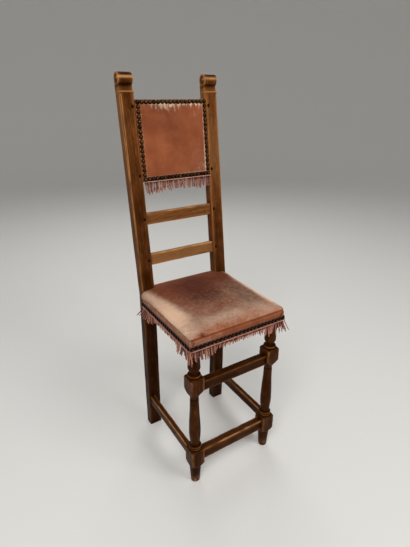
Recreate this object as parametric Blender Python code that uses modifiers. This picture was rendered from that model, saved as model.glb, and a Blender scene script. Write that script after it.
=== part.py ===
# High-backed oak side chair with a velvet seat, a velvet back panel, nail trim and fringe.
# Metres, +Z up. The chair faces -Y, and left and right are as seen from its front.
# The origin is on the floor, under the middle of the chair's box.

import math

import bmesh
import bpy
from mathutils import Matrix

# Fits and edges
GAP = 0.0003  # clearance between pieces that touch
EDGE_BEVEL = 0.0015  # worn arris of the sawn timbers
CUT_LEAD = 0.004  # how far a cutter starts outside the face that it cuts
SHARP_ANGLE = math.radians(40)  # edges bent more than this are arrises
FLAT_ANGLE = math.radians(0.5)  # faces bent less than this are one face
WELD = 1e-6  # points closer than this are one point

# Frame
OVERALL_HEIGHT = 1.000
FRAME_WIDTH = 0.269  # over the outer faces of the posts and of the front legs
FRAME_DEPTH = 0.253  # from the front legs' front faces back to the posts' front faces

# Back posts
POST_WIDTH = 0.036
POST_DEPTH = 0.027
KNEE_RISE = 0.003  # the posts lean back from this far above the seat rails
RAKE = math.radians(6.6)
LEG_SPLAY = 0.007  # the post's foot stands this far behind its knee
ROLL_SWELL = 0.0015  # how much the rolled top's radius passes half the post's depth
ROLL_STEPS = 18
COVE_LENGTH = 0.014  # hollow under the roll
COVE_DEPTH = 0.006
COVE_STEPS = 5
CHAMFER = 0.0032  # on both front arrises above the seat
CHAMFER_START = 0.036  # up the post from the knee
CHAMFER_STOP = 0.004  # left square below the cove

# Front legs, turned from square stock
BLOCK = 0.037  # side of the square stock
LEG_SIDES = 20
CORNER_CLEARANCE = 0.0013  # the turning starts this far outside the stock's corners
TOP_BLOCK_TAIL = 0.007  # square part below the seat rails
NECK_RADIUS = 0.0152
NECK_TOP_RADIUS = 0.0140
NECK_BELLY_RISE = 0.013  # the neck's widest part above its groove
UPPER_BLOCK_TOP = 0.337
UPPER_BLOCK_BOTTOM = 0.305
LOWER_BLOCK_TOP = 0.110
LOWER_BLOCK_BOTTOM = 0.068
SHOULDER = 0.005  # turned slope at the top of a block, and under the top one
LONG_SHOULDER = 0.029  # turned slope under the upper block
FOOT_SHOULDER = 0.010  # turned slope under the lower block
COLLAR_RADIUS = 0.0165
COLLAR_HEIGHT = 0.008
GROOVE_RADIUS = 0.0105
GROOVE_WIDTH = 0.003
SHAFT_TOP_RADIUS = 0.0112
SHAFT_BELLY_RADIUS = 0.0150
SHAFT_BELLY_RISE = 0.042  # the belly's height above the rings
SHAFT_FOOT_RADIUS = 0.0122
RING_RADIUS = 0.0165
RING_HEIGHT = 0.0065  # each of the two rings on the lower block
BEAD_BULGE = 0.003  # how far a ring or collar stands out from its own edges
FOOT_TOP_RADIUS = 0.0158
FOOT_RADIUS = 0.0115
NECK_STEPS = 4
SHAFT_STEPS = 7
BEAD_STEPS = 4

# Seat frame
SEAT_RAIL_TOP = 0.447
SEAT_RAIL_HEIGHT = 0.032
SEAT_RAIL_THICKNESS = 0.020
BACK_RAIL_SETBACK = 0.004  # behind the posts' front faces
CORNER_BLOCK_ARM = 0.030  # along each rail, past the leg or the post
CORNER_BLOCK_HEIGHT = 0.018
CORNER_BLOCK_DROP = 0.007  # below the rails' top

# Stretchers
UPPER_STRETCHER_DROP = 0.010  # its lower edge below the upper blocks
UPPER_STRETCHER_HEIGHT = 0.027
LOWER_STRETCHER_RISE = 0.0025  # its lower edge above the lower blocks' undersides
LOWER_STRETCHER_HEIGHT = 0.0315
FRONT_STRETCHER_THICKNESS = 0.021
SIDE_STRETCHER_RISE = 0.014  # its lower edge above the lower blocks' undersides
SIDE_STRETCHER_HEIGHT = 0.027
SIDE_STRETCHER_THICKNESS = 0.015
SIDE_STRETCHER_INSET = 0.004  # behind the frame's outer faces

# Open part of the back
SLATS = ("lower", "upper")
SLAT_HEIGHT = 0.030
SLAT_THICKNESS = 0.015
SLAT_SETBACK = 0.006  # behind the posts' front faces
SLAT_ZONE_START = 0.005  # up the posts from the knee

# Back panel, with heights along the raked posts
PANEL_DROP = 0.046  # panel's top below the middle of the roll
PANEL_HEIGHT = 0.191
PANEL_RAIL_HEIGHT = 0.027
PANEL_RAIL_THICKNESS = 0.018
PANEL_STILE_WIDTH = 0.018
PANEL_STILE_TENON = 0.009
PANEL_CROWN = 0.007
PANEL_CELLS = 8

# Joinery
TENON_THICKNESS = 0.008
TENON_SHOULDER = 0.004  # step above and below a tenon
TENON_WALL = 0.004  # wood left between two tenons that meet in a post
BACK_WALL = 0.010  # wood left in the post behind a side tenon
PEG_DIAMETER = 0.006
PEG_SIDES = 12
PEG_INSET = 0.007  # from the post's inner face
PEG_LENGTH = 0.020
PEG_RECESS = 0.001

# Upholstery
STRAP_COUNT = 3  # webbing straps each way
STRAP_WIDTH = 0.044
STRAP_THICKNESS = 0.0015
STRAP_LAP = 0.012  # onto each rail
STRAP_MARGIN = 0.002  # level run past a rail's edge or a crossing strap
BASE_CLOTH = 0.0010
CLOTH_MARGIN = 0.003  # cut edge of the seat's base cloth, in from the cover
COVER_THICKNESS = 0.0015
COVER_DROP = 0.018  # the seat cover's lower edge below the rails' top
STUFFING_EDGE = 0.0008  # thickness of the stuffing at its border
EDGE_ROLL_HEIGHT = 0.007
EDGE_ROLL_WIDTH = 0.011
EDGE_ROLL_SHARE = 0.25  # where the grid bends over the roll, as a share of its width
SEAT_CROWN = 0.012
SEAT_BACK_FALL = 0.45  # share of the crown that is lost towards the rear
SEAT_BACK_FULLNESS = 4.0  # how much squarer the crown gets towards the rear
SEAT_CELLS = 8  # across the middle of the seat, and along it
STUFFING_EASE = 0.0006  # extra room between the stuffing and its cover

# Nails and fringe
NAIL_PITCH = 0.011
NAIL_WIDTH = 0.0105
NAIL_HEIGHT = 0.003
NAIL_WAIST = 0.55  # width between two heads, as a share of a head's width
SEAT_NAIL_RISE = 0.005  # the seat's nail rows above the cover's lower edge
FRINGE_HEADER = 0.011
FRINGE_THICKNESS = 0.002
FRINGE_LENGTH = 0.033  # a full strand
FRINGE_WORN = 0.55  # shortest strand on the seat, as a share of a full one
FRINGE_FULL_FROM = 0.5  # strands lengthen from here towards the ends, as a share of the half length
FRINGE_FULL_RAMP = 0.35  # and reach their full length over this share
FRINGE_UNEVEN = 0.04  # strands differ in length by this share
FRINGE_PITCH = 0.005
STRAND_GAP = 0.0016  # between two strands at the header
STRAND_TAPER = 0.0008  # from a strand's top to its tip
FRINGE_SWAY = 0.0006
UNEVEN_STEP = 2.4  # turn of the uneven lengths from strand to strand, in radians
SWAY_STEP = 1.7  # turn of the sway from strand to strand, in radians

# Places worked out from the sizes. Y is measured from the posts' front faces at the knee.
HALF_WIDTH = FRAME_WIDTH / 2
POST_X = HALF_WIDTH - POST_WIDTH / 2
POST_INNER_X = HALF_WIDTH - POST_WIDTH
LEG_X = HALF_WIDTH - BLOCK / 2
LEG_Y = -FRAME_DEPTH + BLOCK / 2
LEG_BACK_Y = -FRAME_DEPTH + BLOCK
KNEE_HEIGHT = SEAT_RAIL_TOP + KNEE_RISE
TOP_BLOCK_BOTTOM = SEAT_RAIL_TOP - SEAT_RAIL_HEIGHT - TOP_BLOCK_TAIL
ROLL_RADIUS = POST_DEPTH / 2 + ROLL_SWELL
ROLL_T = POST_DEPTH - ROLL_RADIUS
ROLL_S = (OVERALL_HEIGHT - ROLL_RADIUS - KNEE_HEIGHT + ROLL_T * math.sin(RAKE)) / math.cos(RAKE)
PANEL_TOP = ROLL_S - PANEL_DROP
PANEL_BOTTOM = PANEL_TOP - PANEL_HEIGHT
PANEL_HALF = POST_INNER_X - GAP
PANEL_SETBACK = COVER_THICKNESS + STUFFING_EDGE + BASE_CLOTH + 3 * GAP  # behind the posts' front faces
SIDE_TENON = POST_DEPTH - BACK_WALL
CROSS_TENON = POST_WIDTH - SEAT_RAIL_THICKNESS / 2 - TENON_THICKNESS / 2 - TENON_WALL
SIDE_STRETCHER_X = HALF_WIDTH - SIDE_STRETCHER_INSET - SIDE_STRETCHER_THICKNESS / 2
LEG_TENON = SIDE_STRETCHER_X - TENON_THICKNESS / 2 - TENON_WALL - (HALF_WIDTH - BLOCK)
WEBBING_Z = SEAT_RAIL_TOP + GAP + STRAP_THICKNESS / 2
WEBBING_RISE = (STRAP_THICKNESS + GAP) / 2
BASE_CLOTH_Z = WEBBING_Z + WEBBING_RISE + STRAP_THICKNESS / 2 + GAP
STUFFING_BOTTOM = BASE_CLOTH_Z + BASE_CLOTH + GAP
STUFFING_INSET = COVER_THICKNESS + GAP + STUFFING_EASE
SEAT_BORDER_Z = STUFFING_BOTTOM + STUFFING_EDGE + STUFFING_INSET
COVER_BOTTOM = SEAT_RAIL_TOP - COVER_DROP
SEAT_NAIL_LINE = COVER_BOTTOM + SEAT_NAIL_RISE
STRAND_WIDTH = FRINGE_PITCH - STRAND_GAP
STRAND_TIP = STRAND_WIDTH - STRAND_TAPER
TRIM_OUT = GAP + FRINGE_THICKNESS + GAP  # from the cover to the back of the nails
FRONT_REACH = -FRAME_DEPTH - GAP - COVER_THICKNESS - TRIM_OUT - NAIL_HEIGHT
BACK_REACH = ROLL_T * math.cos(RAKE) + ROLL_S * math.sin(RAKE) + ROLL_RADIUS
POST_LINE_Y = -(FRONT_REACH + BACK_REACH) / 2
SIDES = (("left", -1), ("right", 1))
STAND_UP = Matrix.Rotation(math.pi / 2, 4, "X")


def new_material(name, colour, roughness, metallic=0.0):
    finish = bpy.data.materials.new(name)
    finish.use_nodes = True
    shader = finish.node_tree.nodes["Principled BSDF"]
    shader.inputs["Base Color"].default_value = (*colour, 1.0)
    shader.inputs["Roughness"].default_value = roughness
    shader.inputs["Metallic"].default_value = metallic
    return finish


def new_empty(name, parent, location, rotation=(0.0, 0.0, 0.0)):
    empty = bpy.data.objects.new(name, None)
    chair.objects.link(empty)
    empty.parent = parent
    empty.location = location
    empty.rotation_euler = rotation
    return empty


def mesh_of(bm, name):
    bmesh.ops.recalc_face_normals(bm, faces=bm.faces)
    mesh = bpy.data.meshes.new(name)
    bm.to_mesh(mesh)
    bm.free()
    return mesh


def place(name, mesh, finish, parent, location=(0.0, 0.0, 0.0), rotation=(0.0, 0.0, 0.0)):
    piece = bpy.data.objects.new(name, mesh)
    chair.objects.link(piece)
    mesh.materials.append(finish)
    piece.parent = parent
    piece.location = location
    piece.rotation_euler = rotation
    return piece


def place_cutter(name, mesh, parent, location=(0.0, 0.0, 0.0), rotation=(0.0, 0.0, 0.0)):
    cutter = bpy.data.objects.new(name, mesh)
    cutters.objects.link(cutter)
    cutter.parent = parent
    cutter.location = location
    cutter.rotation_euler = rotation
    cutter.hide_render = True
    cutter.display_type = "WIRE"
    return cutter


def cut(piece, cutter, operation="DIFFERENCE"):
    boolean = piece.modifiers.new(cutter.name, "BOOLEAN")
    boolean.operation = operation
    boolean.object = cutter
    boolean.solver = "EXACT"


def bevel_edges(piece, limit="ANGLE"):
    bevel = piece.modifiers.new("worn arris", "BEVEL")
    bevel.width = EDGE_BEVEL
    bevel.segments = 1
    bevel.limit_method = limit
    bevel.angle_limit = SHARP_ANGLE


def shade_round(mesh):
    mesh.shade_smooth()
    mesh.set_sharp_from_angle(angle=SHARP_ANGLE)


def thicken(piece, thickness, offset):
    solid = piece.modifiers.new("cloth", "SOLIDIFY")
    solid.thickness = thickness
    solid.offset = offset
    solid.use_even_offset = True


def box_mesh(name, size):
    bm = bmesh.new()
    bmesh.ops.create_cube(bm, size=1.0)
    bmesh.ops.scale(bm, vec=size, verts=bm.verts)
    return mesh_of(bm, name)


def rod_mesh(name, radius, length, sides):
    # A rod along Y, centred on its origin.
    bm = bmesh.new()
    bmesh.ops.create_cone(bm, cap_ends=True, segments=sides, radius1=radius, radius2=radius, depth=length)
    mesh = mesh_of(bm, name)
    mesh.transform(STAND_UP)
    return mesh


def surface_of(curve):
    # The surface of a curve, with its caps welded on. The curve is removed.
    guide = bpy.data.objects.new(curve.name, curve)
    bpy.context.scene.collection.objects.link(guide)
    graph = bpy.context.evaluated_depsgraph_get()
    mesh = bpy.data.meshes.new_from_object(guide.evaluated_get(graph))
    bpy.data.objects.remove(guide)
    bpy.data.curves.remove(curve)
    bm = bmesh.new()
    bm.from_mesh(mesh)
    bpy.data.meshes.remove(mesh)
    bmesh.ops.remove_doubles(bm, verts=bm.verts, dist=WELD)
    return bm


def outline_mesh(name, points, thickness):
    # A flat outline in XY, extruded along Z and centred on its plane.
    curve = bpy.data.curves.new(name, "CURVE")
    curve.dimensions = "2D"
    curve.fill_mode = "BOTH"
    curve.extrude = thickness / 2
    spline = curve.splines.new("POLY")
    spline.points.add(len(points) - 1)
    for point, (u, v) in zip(spline.points, points):
        point.co = (u, v, 0.0, 1.0)
    spline.use_cyclic_u = True
    bm = surface_of(curve)
    bmesh.ops.dissolve_limit(bm, angle_limit=FLAT_ANGLE, verts=bm.verts, edges=bm.edges)
    return mesh_of(bm, name)


def tenoned_bar(name, size, tenon, finish, parent, location, rotation=(0.0, 0.0, 0.0)):
    # A bar along its own X with a tenon at each end, and the two cutters for its mortises.
    length, thickness, height = size
    tenon_height = height - 2 * TENON_SHOULDER
    bm = bmesh.new()
    bmesh.ops.create_cube(bm, size=1.0)
    bmesh.ops.scale(bm, vec=size, verts=bm.verts)
    weight = bm.edges.layers.float.new("bevel_weight_edge")
    for edge in bm.edges:
        along = edge.verts[1].co - edge.verts[0].co
        edge[weight] = 1.0 if abs(along.x) > length / 2 else 0.0
    for side in (-1, 1):
        end = max(bm.faces, key=lambda face: face.calc_center_median().x * side)
        step = bmesh.ops.extrude_discrete_faces(bm, faces=[end])["faces"][0]
        slim = (1.0, TENON_THICKNESS / thickness, tenon_height / height)
        bmesh.ops.scale(bm, vec=slim, verts=step.verts)
        tip = bmesh.ops.extrude_discrete_faces(bm, faces=[step])["faces"][0]
        bmesh.ops.translate(bm, vec=(side * tenon, 0.0, 0.0), verts=tip.verts)
    bar = place(name, mesh_of(bm, name), finish, parent, location, rotation)
    bevel_edges(bar, "WEIGHT")
    mortises = []
    reach = CUT_LEAD + tenon + GAP
    room = (reach, TENON_THICKNESS + 2 * GAP, tenon_height + 2 * GAP)
    for side in (-1, 1):
        middle = (side * (length / 2 - CUT_LEAD + reach / 2), 0.0, 0.0)
        label = f"{name} mortise {'start' if side < 0 else 'end'}"
        mortises.append(place_cutter(label, box_mesh(label, room), bar, middle))
    return bar, mortises


def raked(t, s):
    # Y and Z of a point that lies t behind the posts' front faces and s up the post from the knee.
    y = t * math.cos(RAKE) + s * math.sin(RAKE)
    z = KNEE_HEIGHT + s * math.cos(RAKE) - t * math.sin(RAKE)
    return y, z


def post_face_y(z):
    # The front face of a post below the knee.
    return LEG_SPLAY * (1 - z / KNEE_HEIGHT)


def post_outline():
    # Side view of a post, as Y and Z, from its foot up the front, over the roll and down the back.
    meet = math.pi + math.acos((ROLL_T - COVE_DEPTH) / ROLL_RADIUS)
    cove_top = ROLL_S + ROLL_RADIUS * math.sin(meet)
    points = [(LEG_SPLAY, 0.0), raked(0.0, 0.0)]
    for step in range(COVE_STEPS):
        turn = math.pi / 2 * step / COVE_STEPS
        points.append(raked(COVE_DEPTH * math.sin(turn), cove_top - COVE_LENGTH * math.cos(turn)))
    for step in range(ROLL_STEPS + 1):
        turn = meet * (1 - step / ROLL_STEPS)
        points.append(raked(ROLL_T + ROLL_RADIUS * math.cos(turn), ROLL_S + ROLL_RADIUS * math.sin(turn)))
    points.append((POST_DEPTH, KNEE_HEIGHT - POST_DEPTH * math.tan(RAKE / 2)))
    points.append((LEG_SPLAY + POST_DEPTH, 0.0))
    return points, cove_top - COVE_LENGTH


def build_posts():
    # Two posts, each one timber from the floor to its rolled top, with stopped chamfers in front.
    points, cove_bottom = post_outline()
    chamfer_length = cove_bottom - CHAMFER_STOP - CHAMFER_START
    chamfer_side = CHAMFER * math.sqrt(2)
    posts = {}
    for label, side in SIDES:
        name = f"back_post_{label}"
        mesh = outline_mesh(name, points, POST_WIDTH)
        upright = (math.pi / 2, 0.0, math.pi / 2)
        post = place(name, mesh, oak, post_line, (side * POST_X, 0.0, 0.0), upright)
        bevel_edges(post)
        for edge in (-1, 1):
            tool_name = f"{name} chamfer {edge}"
            tool = box_mesh(tool_name, (chamfer_side + 2 * CUT_LEAD, chamfer_side, chamfer_length))
            spot = (side * POST_X + edge * POST_WIDTH / 2, 0.0, CHAMFER_START + chamfer_length / 2)
            cut(post, place_cutter(tool_name, tool, raked_back, spot, (0.0, 0.0, edge * math.pi / 4)))
        posts[side] = post
    return posts


def curve_points(top, bottom, top_radius, bottom_radius, steps):
    # A smooth turned sweep between two radii.
    points = []
    for step in range(steps + 1):
        share = (1 - math.cos(math.pi * step / steps)) / 2
        z = top + (bottom - top) * step / steps
        points.append((top_radius + (bottom_radius - top_radius) * share, z))
    return points


def bead_points(top, height, radius):
    # A turned ring with a round edge.
    points = []
    for step in range(BEAD_STEPS + 1):
        bulge = BEAD_BULGE * (math.sin(math.pi * step / BEAD_STEPS) - 1)
        points.append((radius + bulge, top - height * step / BEAD_STEPS))
    return points


def leg_profile():
    # Radius and height down the outside of a leg. At the square blocks the radius passes the stock's corners.
    clear = BLOCK / math.sqrt(2) + CORNER_CLEARANCE
    collar_top = UPPER_BLOCK_TOP + SHOULDER + COLLAR_HEIGHT
    neck_top = TOP_BLOCK_BOTTOM - SHOULDER
    neck_bottom = collar_top + GROOVE_WIDTH
    neck_belly = neck_bottom + NECK_BELLY_RISE
    shaft_top = UPPER_BLOCK_BOTTOM - LONG_SHOULDER - GROOVE_WIDTH
    rings_top = LOWER_BLOCK_TOP + SHOULDER + 2 * RING_HEIGHT
    belly = rings_top + SHAFT_BELLY_RISE
    foot_top = LOWER_BLOCK_BOTTOM - FOOT_SHOULDER
    half_slope = (clear + FOOT_TOP_RADIUS) / 2
    points = [(0.0, SEAT_RAIL_TOP), (clear, SEAT_RAIL_TOP), (clear, TOP_BLOCK_BOTTOM)]
    points += curve_points(neck_top, neck_belly, NECK_TOP_RADIUS, NECK_RADIUS, NECK_STEPS)
    points += curve_points(neck_belly, neck_bottom, NECK_RADIUS, GROOVE_RADIUS, NECK_STEPS)[1:]
    points.append((GROOVE_RADIUS, collar_top))
    points += bead_points(collar_top, COLLAR_HEIGHT, COLLAR_RADIUS)
    points += [(clear, UPPER_BLOCK_TOP), (clear, UPPER_BLOCK_BOTTOM)]
    points.append((half_slope, UPPER_BLOCK_BOTTOM - LONG_SHOULDER / 2))
    points.append((GROOVE_RADIUS, UPPER_BLOCK_BOTTOM - LONG_SHOULDER))
    points += curve_points(shaft_top, belly, SHAFT_TOP_RADIUS, SHAFT_BELLY_RADIUS, SHAFT_STEPS)
    points += curve_points(belly, rings_top, SHAFT_BELLY_RADIUS, SHAFT_FOOT_RADIUS, NECK_STEPS)[1:]
    points += bead_points(rings_top, RING_HEIGHT, RING_RADIUS)
    points += bead_points(rings_top - RING_HEIGHT, RING_HEIGHT, RING_RADIUS)[1:]
    points += [(clear, LOWER_BLOCK_TOP), (clear, LOWER_BLOCK_BOTTOM)]
    points.append((half_slope, LOWER_BLOCK_BOTTOM - FOOT_SHOULDER / 2))
    points += [(FOOT_TOP_RADIUS, foot_top), (FOOT_RADIUS, EDGE_BEVEL)]
    points += [(FOOT_RADIUS - EDGE_BEVEL, 0.0), (0.0, 0.0)]
    return points


def build_legs():
    # Turned legs: the turning is cut from square stock, which leaves the square blocks.
    stock_height = SEAT_RAIL_TOP + 2 * CUT_LEAD
    legs = {}
    for label, side in SIDES:
        name = f"front_leg_{label}"
        bm = bmesh.new()
        chain = [bm.verts.new((radius, 0.0, z)) for radius, z in leg_profile()]
        for upper, lower in zip(chain, chain[1:]):
            bm.edges.new((upper, lower))
        mesh = bpy.data.meshes.new(name)
        bm.to_mesh(mesh)
        bm.free()
        leg = place(name, mesh, oak, post_line, (side * LEG_X, LEG_Y, 0.0))
        screw = leg.modifiers.new("turning", "SCREW")
        screw.axis = "Z"
        screw.steps = LEG_SIDES
        screw.render_steps = LEG_SIDES
        screw.use_merge_vertices = True
        screw.merge_threshold = WELD
        bm = bmesh.new()
        bmesh.ops.create_cube(bm, size=1.0)
        bmesh.ops.scale(bm, vec=(BLOCK, BLOCK, stock_height), verts=bm.verts)
        arrises = [edge for edge in bm.edges if abs(edge.verts[0].co.z - edge.verts[1].co.z) > BLOCK]
        bmesh.ops.bevel(bm, geom=arrises, offset=EDGE_BEVEL, segments=1, affect="EDGES")
        stock = mesh_of(bm, f"{name} stock")
        cut(leg, place_cutter(f"{name} stock", stock, leg, (0.0, 0.0, SEAT_RAIL_TOP / 2)), "INTERSECT")
        legs[side] = leg
    return legs


def build_cross_bars(posts, legs):
    # Bars from side to side, between the posts or between the front legs.
    between_posts = 2 * POST_INNER_X - 2 * GAP
    between_legs = FRAME_WIDTH - 2 * BLOCK - 2 * GAP
    rail_z = SEAT_RAIL_TOP - SEAT_RAIL_HEIGHT / 2
    back_y = BACK_RAIL_SETBACK + SEAT_RAIL_THICKNESS / 2
    front_y = -FRAME_DEPTH + SEAT_RAIL_THICKNESS / 2
    rail = (SEAT_RAIL_THICKNESS, SEAT_RAIL_HEIGHT)
    upper = (FRONT_STRETCHER_THICKNESS, UPPER_STRETCHER_HEIGHT)
    lower = (FRONT_STRETCHER_THICKNESS, LOWER_STRETCHER_HEIGHT)
    upper_z = UPPER_BLOCK_BOTTOM - UPPER_STRETCHER_DROP + UPPER_STRETCHER_HEIGHT / 2
    lower_z = LOWER_BLOCK_BOTTOM + LOWER_STRETCHER_RISE + LOWER_STRETCHER_HEIGHT / 2
    bars = (
        ("seat_rail_back", posts, between_posts, rail, CROSS_TENON, back_y, rail_z),
        ("seat_rail_front", legs, between_legs, rail, LEG_TENON, front_y, rail_z),
        ("upper_front_stretcher", legs, between_legs, upper, LEG_TENON, LEG_Y, upper_z),
        ("lower_front_stretcher", legs, between_legs, lower, LEG_TENON, LEG_Y, lower_z),
    )
    for name, uprights, length, section, tenon, y, z in bars:
        size = (length, *section)
        mortises = tenoned_bar(name, size, tenon, oak, post_line, (0.0, y, z))[1]
        cut(uprights[-1], mortises[0])
        cut(uprights[1], mortises[1])


def build_side_bars(posts, legs):
    # Bars from a front leg back to its post.
    quarter = (0.0, 0.0, math.pi / 2)
    stretcher = (SIDE_STRETCHER_THICKNESS, SIDE_STRETCHER_HEIGHT)
    stretcher_top = LOWER_BLOCK_BOTTOM + SIDE_STRETCHER_RISE + SIDE_STRETCHER_HEIGHT
    rail = (SEAT_RAIL_THICKNESS, SEAT_RAIL_HEIGHT)
    bars = (
        ("seat_rail", HALF_WIDTH - SEAT_RAIL_THICKNESS / 2, rail, SEAT_RAIL_TOP),
        ("side_stretcher", SIDE_STRETCHER_X, stretcher, stretcher_top),
    )
    for stem, x, section, top in bars:
        back_y = post_face_y(top) - GAP
        front_y = LEG_BACK_Y + GAP
        size = (back_y - front_y, *section)
        middle = ((front_y + back_y) / 2, top - section[1] / 2)
        for label, side in SIDES:
            spot = (side * x, *middle)
            name = f"{stem}_{label}"
            mortises = tenoned_bar(name, size, SIDE_TENON, oak, post_line, spot, quarter)[1]
            cut(legs[side], mortises[0])
            cut(posts[side], mortises[1])


def add_pegs(stem, bar, posts, s):
    # A peg through each end's mortise and tenon, driven from the front of the post.
    peg_y = PEG_RECESS + PEG_LENGTH / 2
    hole_length = PEG_RECESS + PEG_LENGTH + GAP + CUT_LEAD
    hole_y = hole_length / 2 - CUT_LEAD
    for label, side in SIDES:
        name = f"peg_{stem}_{label}"
        x = side * (POST_INNER_X + PEG_INSET)
        mesh = rod_mesh(name, PEG_DIAMETER / 2, PEG_LENGTH, PEG_SIDES)
        shade_round(mesh)
        place(name, mesh, peg_oak, raked_back, (x, peg_y, s))
        hole = rod_mesh(f"{name} hole", PEG_DIAMETER / 2 + GAP, hole_length, PEG_SIDES)
        cutter = place_cutter(f"{name} hole", hole, raked_back, (x, hole_y, s))
        cut(posts[side], cutter)
        cut(bar, cutter)


def build_slats(posts):
    # The slats share the open part of the back evenly.
    length = 2 * POST_INNER_X - 2 * GAP
    free = PANEL_BOTTOM - SLAT_ZONE_START - len(SLATS) * SLAT_HEIGHT
    opening = free / (len(SLATS) + 1)
    for index, label in enumerate(SLATS):
        s = SLAT_ZONE_START + opening * (index + 1) + SLAT_HEIGHT * (index + 0.5)
        size = (length, SLAT_THICKNESS, SLAT_HEIGHT)
        spot = (0.0, SLAT_SETBACK + SLAT_THICKNESS / 2, s)
        slat, mortises = tenoned_bar(f"back_slat_{label}", size, CROSS_TENON, oak, raked_back, spot)
        cut(posts[-1], mortises[0])
        cut(posts[1], mortises[1])
        add_pegs(f"slat_{label}", slat, posts, s)


def build_panel_frame(posts):
    # The back panel's own frame: two rails pegged into the posts, and two stiles between them.
    length = 2 * POST_INNER_X - 2 * GAP
    lift = COVER_THICKNESS + GAP
    y = PANEL_SETBACK + PANEL_RAIL_THICKNESS / 2
    rows = (
        ("bottom", PANEL_BOTTOM + lift + PANEL_RAIL_HEIGHT / 2),
        ("top", PANEL_TOP - lift - PANEL_RAIL_HEIGHT / 2),
    )
    rails = []
    for label, s in rows:
        size = (length, PANEL_RAIL_THICKNESS, PANEL_RAIL_HEIGHT)
        spot = (0.0, y, s)
        rail, mortises = tenoned_bar(f"panel_rail_{label}", size, CROSS_TENON, oak, raked_back, spot)
        cut(posts[-1], mortises[0])
        cut(posts[1], mortises[1])
        add_pegs(f"panel_{label}", rail, posts, s)
        rails.append(rail)
    low = rows[0][1] + PANEL_RAIL_HEIGHT / 2 + GAP
    high = rows[1][1] - PANEL_RAIL_HEIGHT / 2 - GAP
    size = (high - low, PANEL_RAIL_THICKNESS, PANEL_STILE_WIDTH)
    for label, side in SIDES:
        spot = (side * (PANEL_HALF - PANEL_STILE_WIDTH / 2), y, (low + high) / 2)
        turned = (0.0, -math.pi / 2, 0.0)
        name = f"panel_stile_{label}"
        mortises = tenoned_bar(name, size, PANEL_STILE_TENON, oak, raked_back, spot, turned)[1]
        cut(rails[0], mortises[0])
        cut(rails[1], mortises[1])


def build_corner_blocks():
    # Glued blocks in the seat frame's inner corners, each cut round the leg or post in its corner.
    rail_x = HALF_WIDTH - SEAT_RAIL_THICKNESS - GAP
    front_y = -FRAME_DEPTH + SEAT_RAIL_THICKNESS + GAP
    leg_x = HALF_WIDTH - BLOCK - GAP
    leg_y = LEG_BACK_Y + GAP
    post_x = POST_INNER_X - GAP
    post_y = -GAP
    back_y = BACK_RAIL_SETBACK - GAP
    front = [
        (leg_x, front_y),
        (leg_x, leg_y),
        (rail_x, leg_y),
        (rail_x, leg_y + CORNER_BLOCK_ARM),
        (leg_x - CORNER_BLOCK_ARM, front_y),
    ]
    back = [
        (post_x, back_y),
        (post_x, post_y),
        (rail_x, post_y),
        (rail_x, post_y - CORNER_BLOCK_ARM),
        (post_x - CORNER_BLOCK_ARM, back_y),
    ]
    z = SEAT_RAIL_TOP - CORNER_BLOCK_DROP - CORNER_BLOCK_HEIGHT / 2
    for row, points in (("front", front), ("back", back)):
        for label, side in SIDES:
            name = f"corner_block_{row}_{label}"
            mesh = outline_mesh(name, [(side * x, y) for x, y in points], CORNER_BLOCK_HEIGHT)
            place(name, mesh, oak, post_line, (0.0, 0.0, z))


def strap_mesh(name, start, stop, crossings, first_rise):
    # A strap along X, level on the rails and alternately over and under the straps that it crosses.
    stations = [(start - STRAP_LAP, 0.0), (start + STRAP_MARGIN, 0.0)]
    level = STRAP_WIDTH / 2 + STRAP_MARGIN
    rise = first_rise
    for crossing in crossings:
        stations += [(crossing - level, rise), (crossing + level, rise)]
        rise = -rise
    stations += [(stop - STRAP_MARGIN, 0.0), (stop + STRAP_LAP, 0.0)]
    spans = len(stations) - 1
    bm = bmesh.new()
    bmesh.ops.create_grid(bm, x_segments=spans, y_segments=1, size=0.5)
    for vert in bm.verts:
        u, z = stations[round((vert.co.x + 0.5) * spans)]
        vert.co = (u, vert.co.y * STRAP_WIDTH, z)
    return mesh_of(bm, name)


def even_steps(start, stop, count):
    # The middles of equal shares of a length.
    return [start + (stop - start) * (index + 0.5) / count for index in range(count)]


def build_webbing():
    # Webbing straps both ways across the seat frame, woven over and under, clear of the legs' inner corners.
    rail_x = HALF_WIDTH - SEAT_RAIL_THICKNESS
    rail_y = -FRAME_DEPTH + SEAT_RAIL_THICKNESS
    clear_x = HALF_WIDTH - BLOCK
    columns = even_steps(-clear_x, clear_x, STRAP_COUNT)
    rows = even_steps(LEG_BACK_Y, -GAP, STRAP_COUNT)
    quarter = (0.0, 0.0, math.pi / 2)
    for index in range(STRAP_COUNT):
        rise = WEBBING_RISE if index % 2 == 0 else -WEBBING_RISE
        mesh = strap_mesh(f"seat_strap_length_{index + 1}", rail_y, BACK_RAIL_SETBACK, rows, rise)
        strap = place(mesh.name, mesh, jute, post_line, (columns[index], 0.0, WEBBING_Z), quarter)
        thicken(strap, STRAP_THICKNESS, 0.0)
        mesh = strap_mesh(f"seat_strap_cross_{index + 1}", -rail_x, rail_x, columns, -rise)
        strap = place(mesh.name, mesh, jute, post_line, (0.0, rows[index], WEBBING_Z))
        thicken(strap, STRAP_THICKNESS, 0.0)


def seat_plan(inset):
    # The seat's outline as half width, front, notch half width, notch front and rear, drawn in by the inset.
    return {
        "side": HALF_WIDTH + GAP + COVER_THICKNESS - inset,
        "front": -FRAME_DEPTH - GAP - COVER_THICKNESS + inset,
        "notch_x": POST_INNER_X - GAP - inset,
        "notch_y": -GAP - inset,
        "rear": BACK_RAIL_SETBACK + SEAT_RAIL_THICKNESS + GAP + COVER_THICKNESS - inset,
    }


def seat_edge_distance(plan, x, y):
    # How far a point of the seat lies from the nearest free edge. The pad stays full against the posts.
    if y > plan["notch_y"]:
        return plan["rear"] - y
    return min(plan["side"] - abs(x), y - plan["front"])


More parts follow.
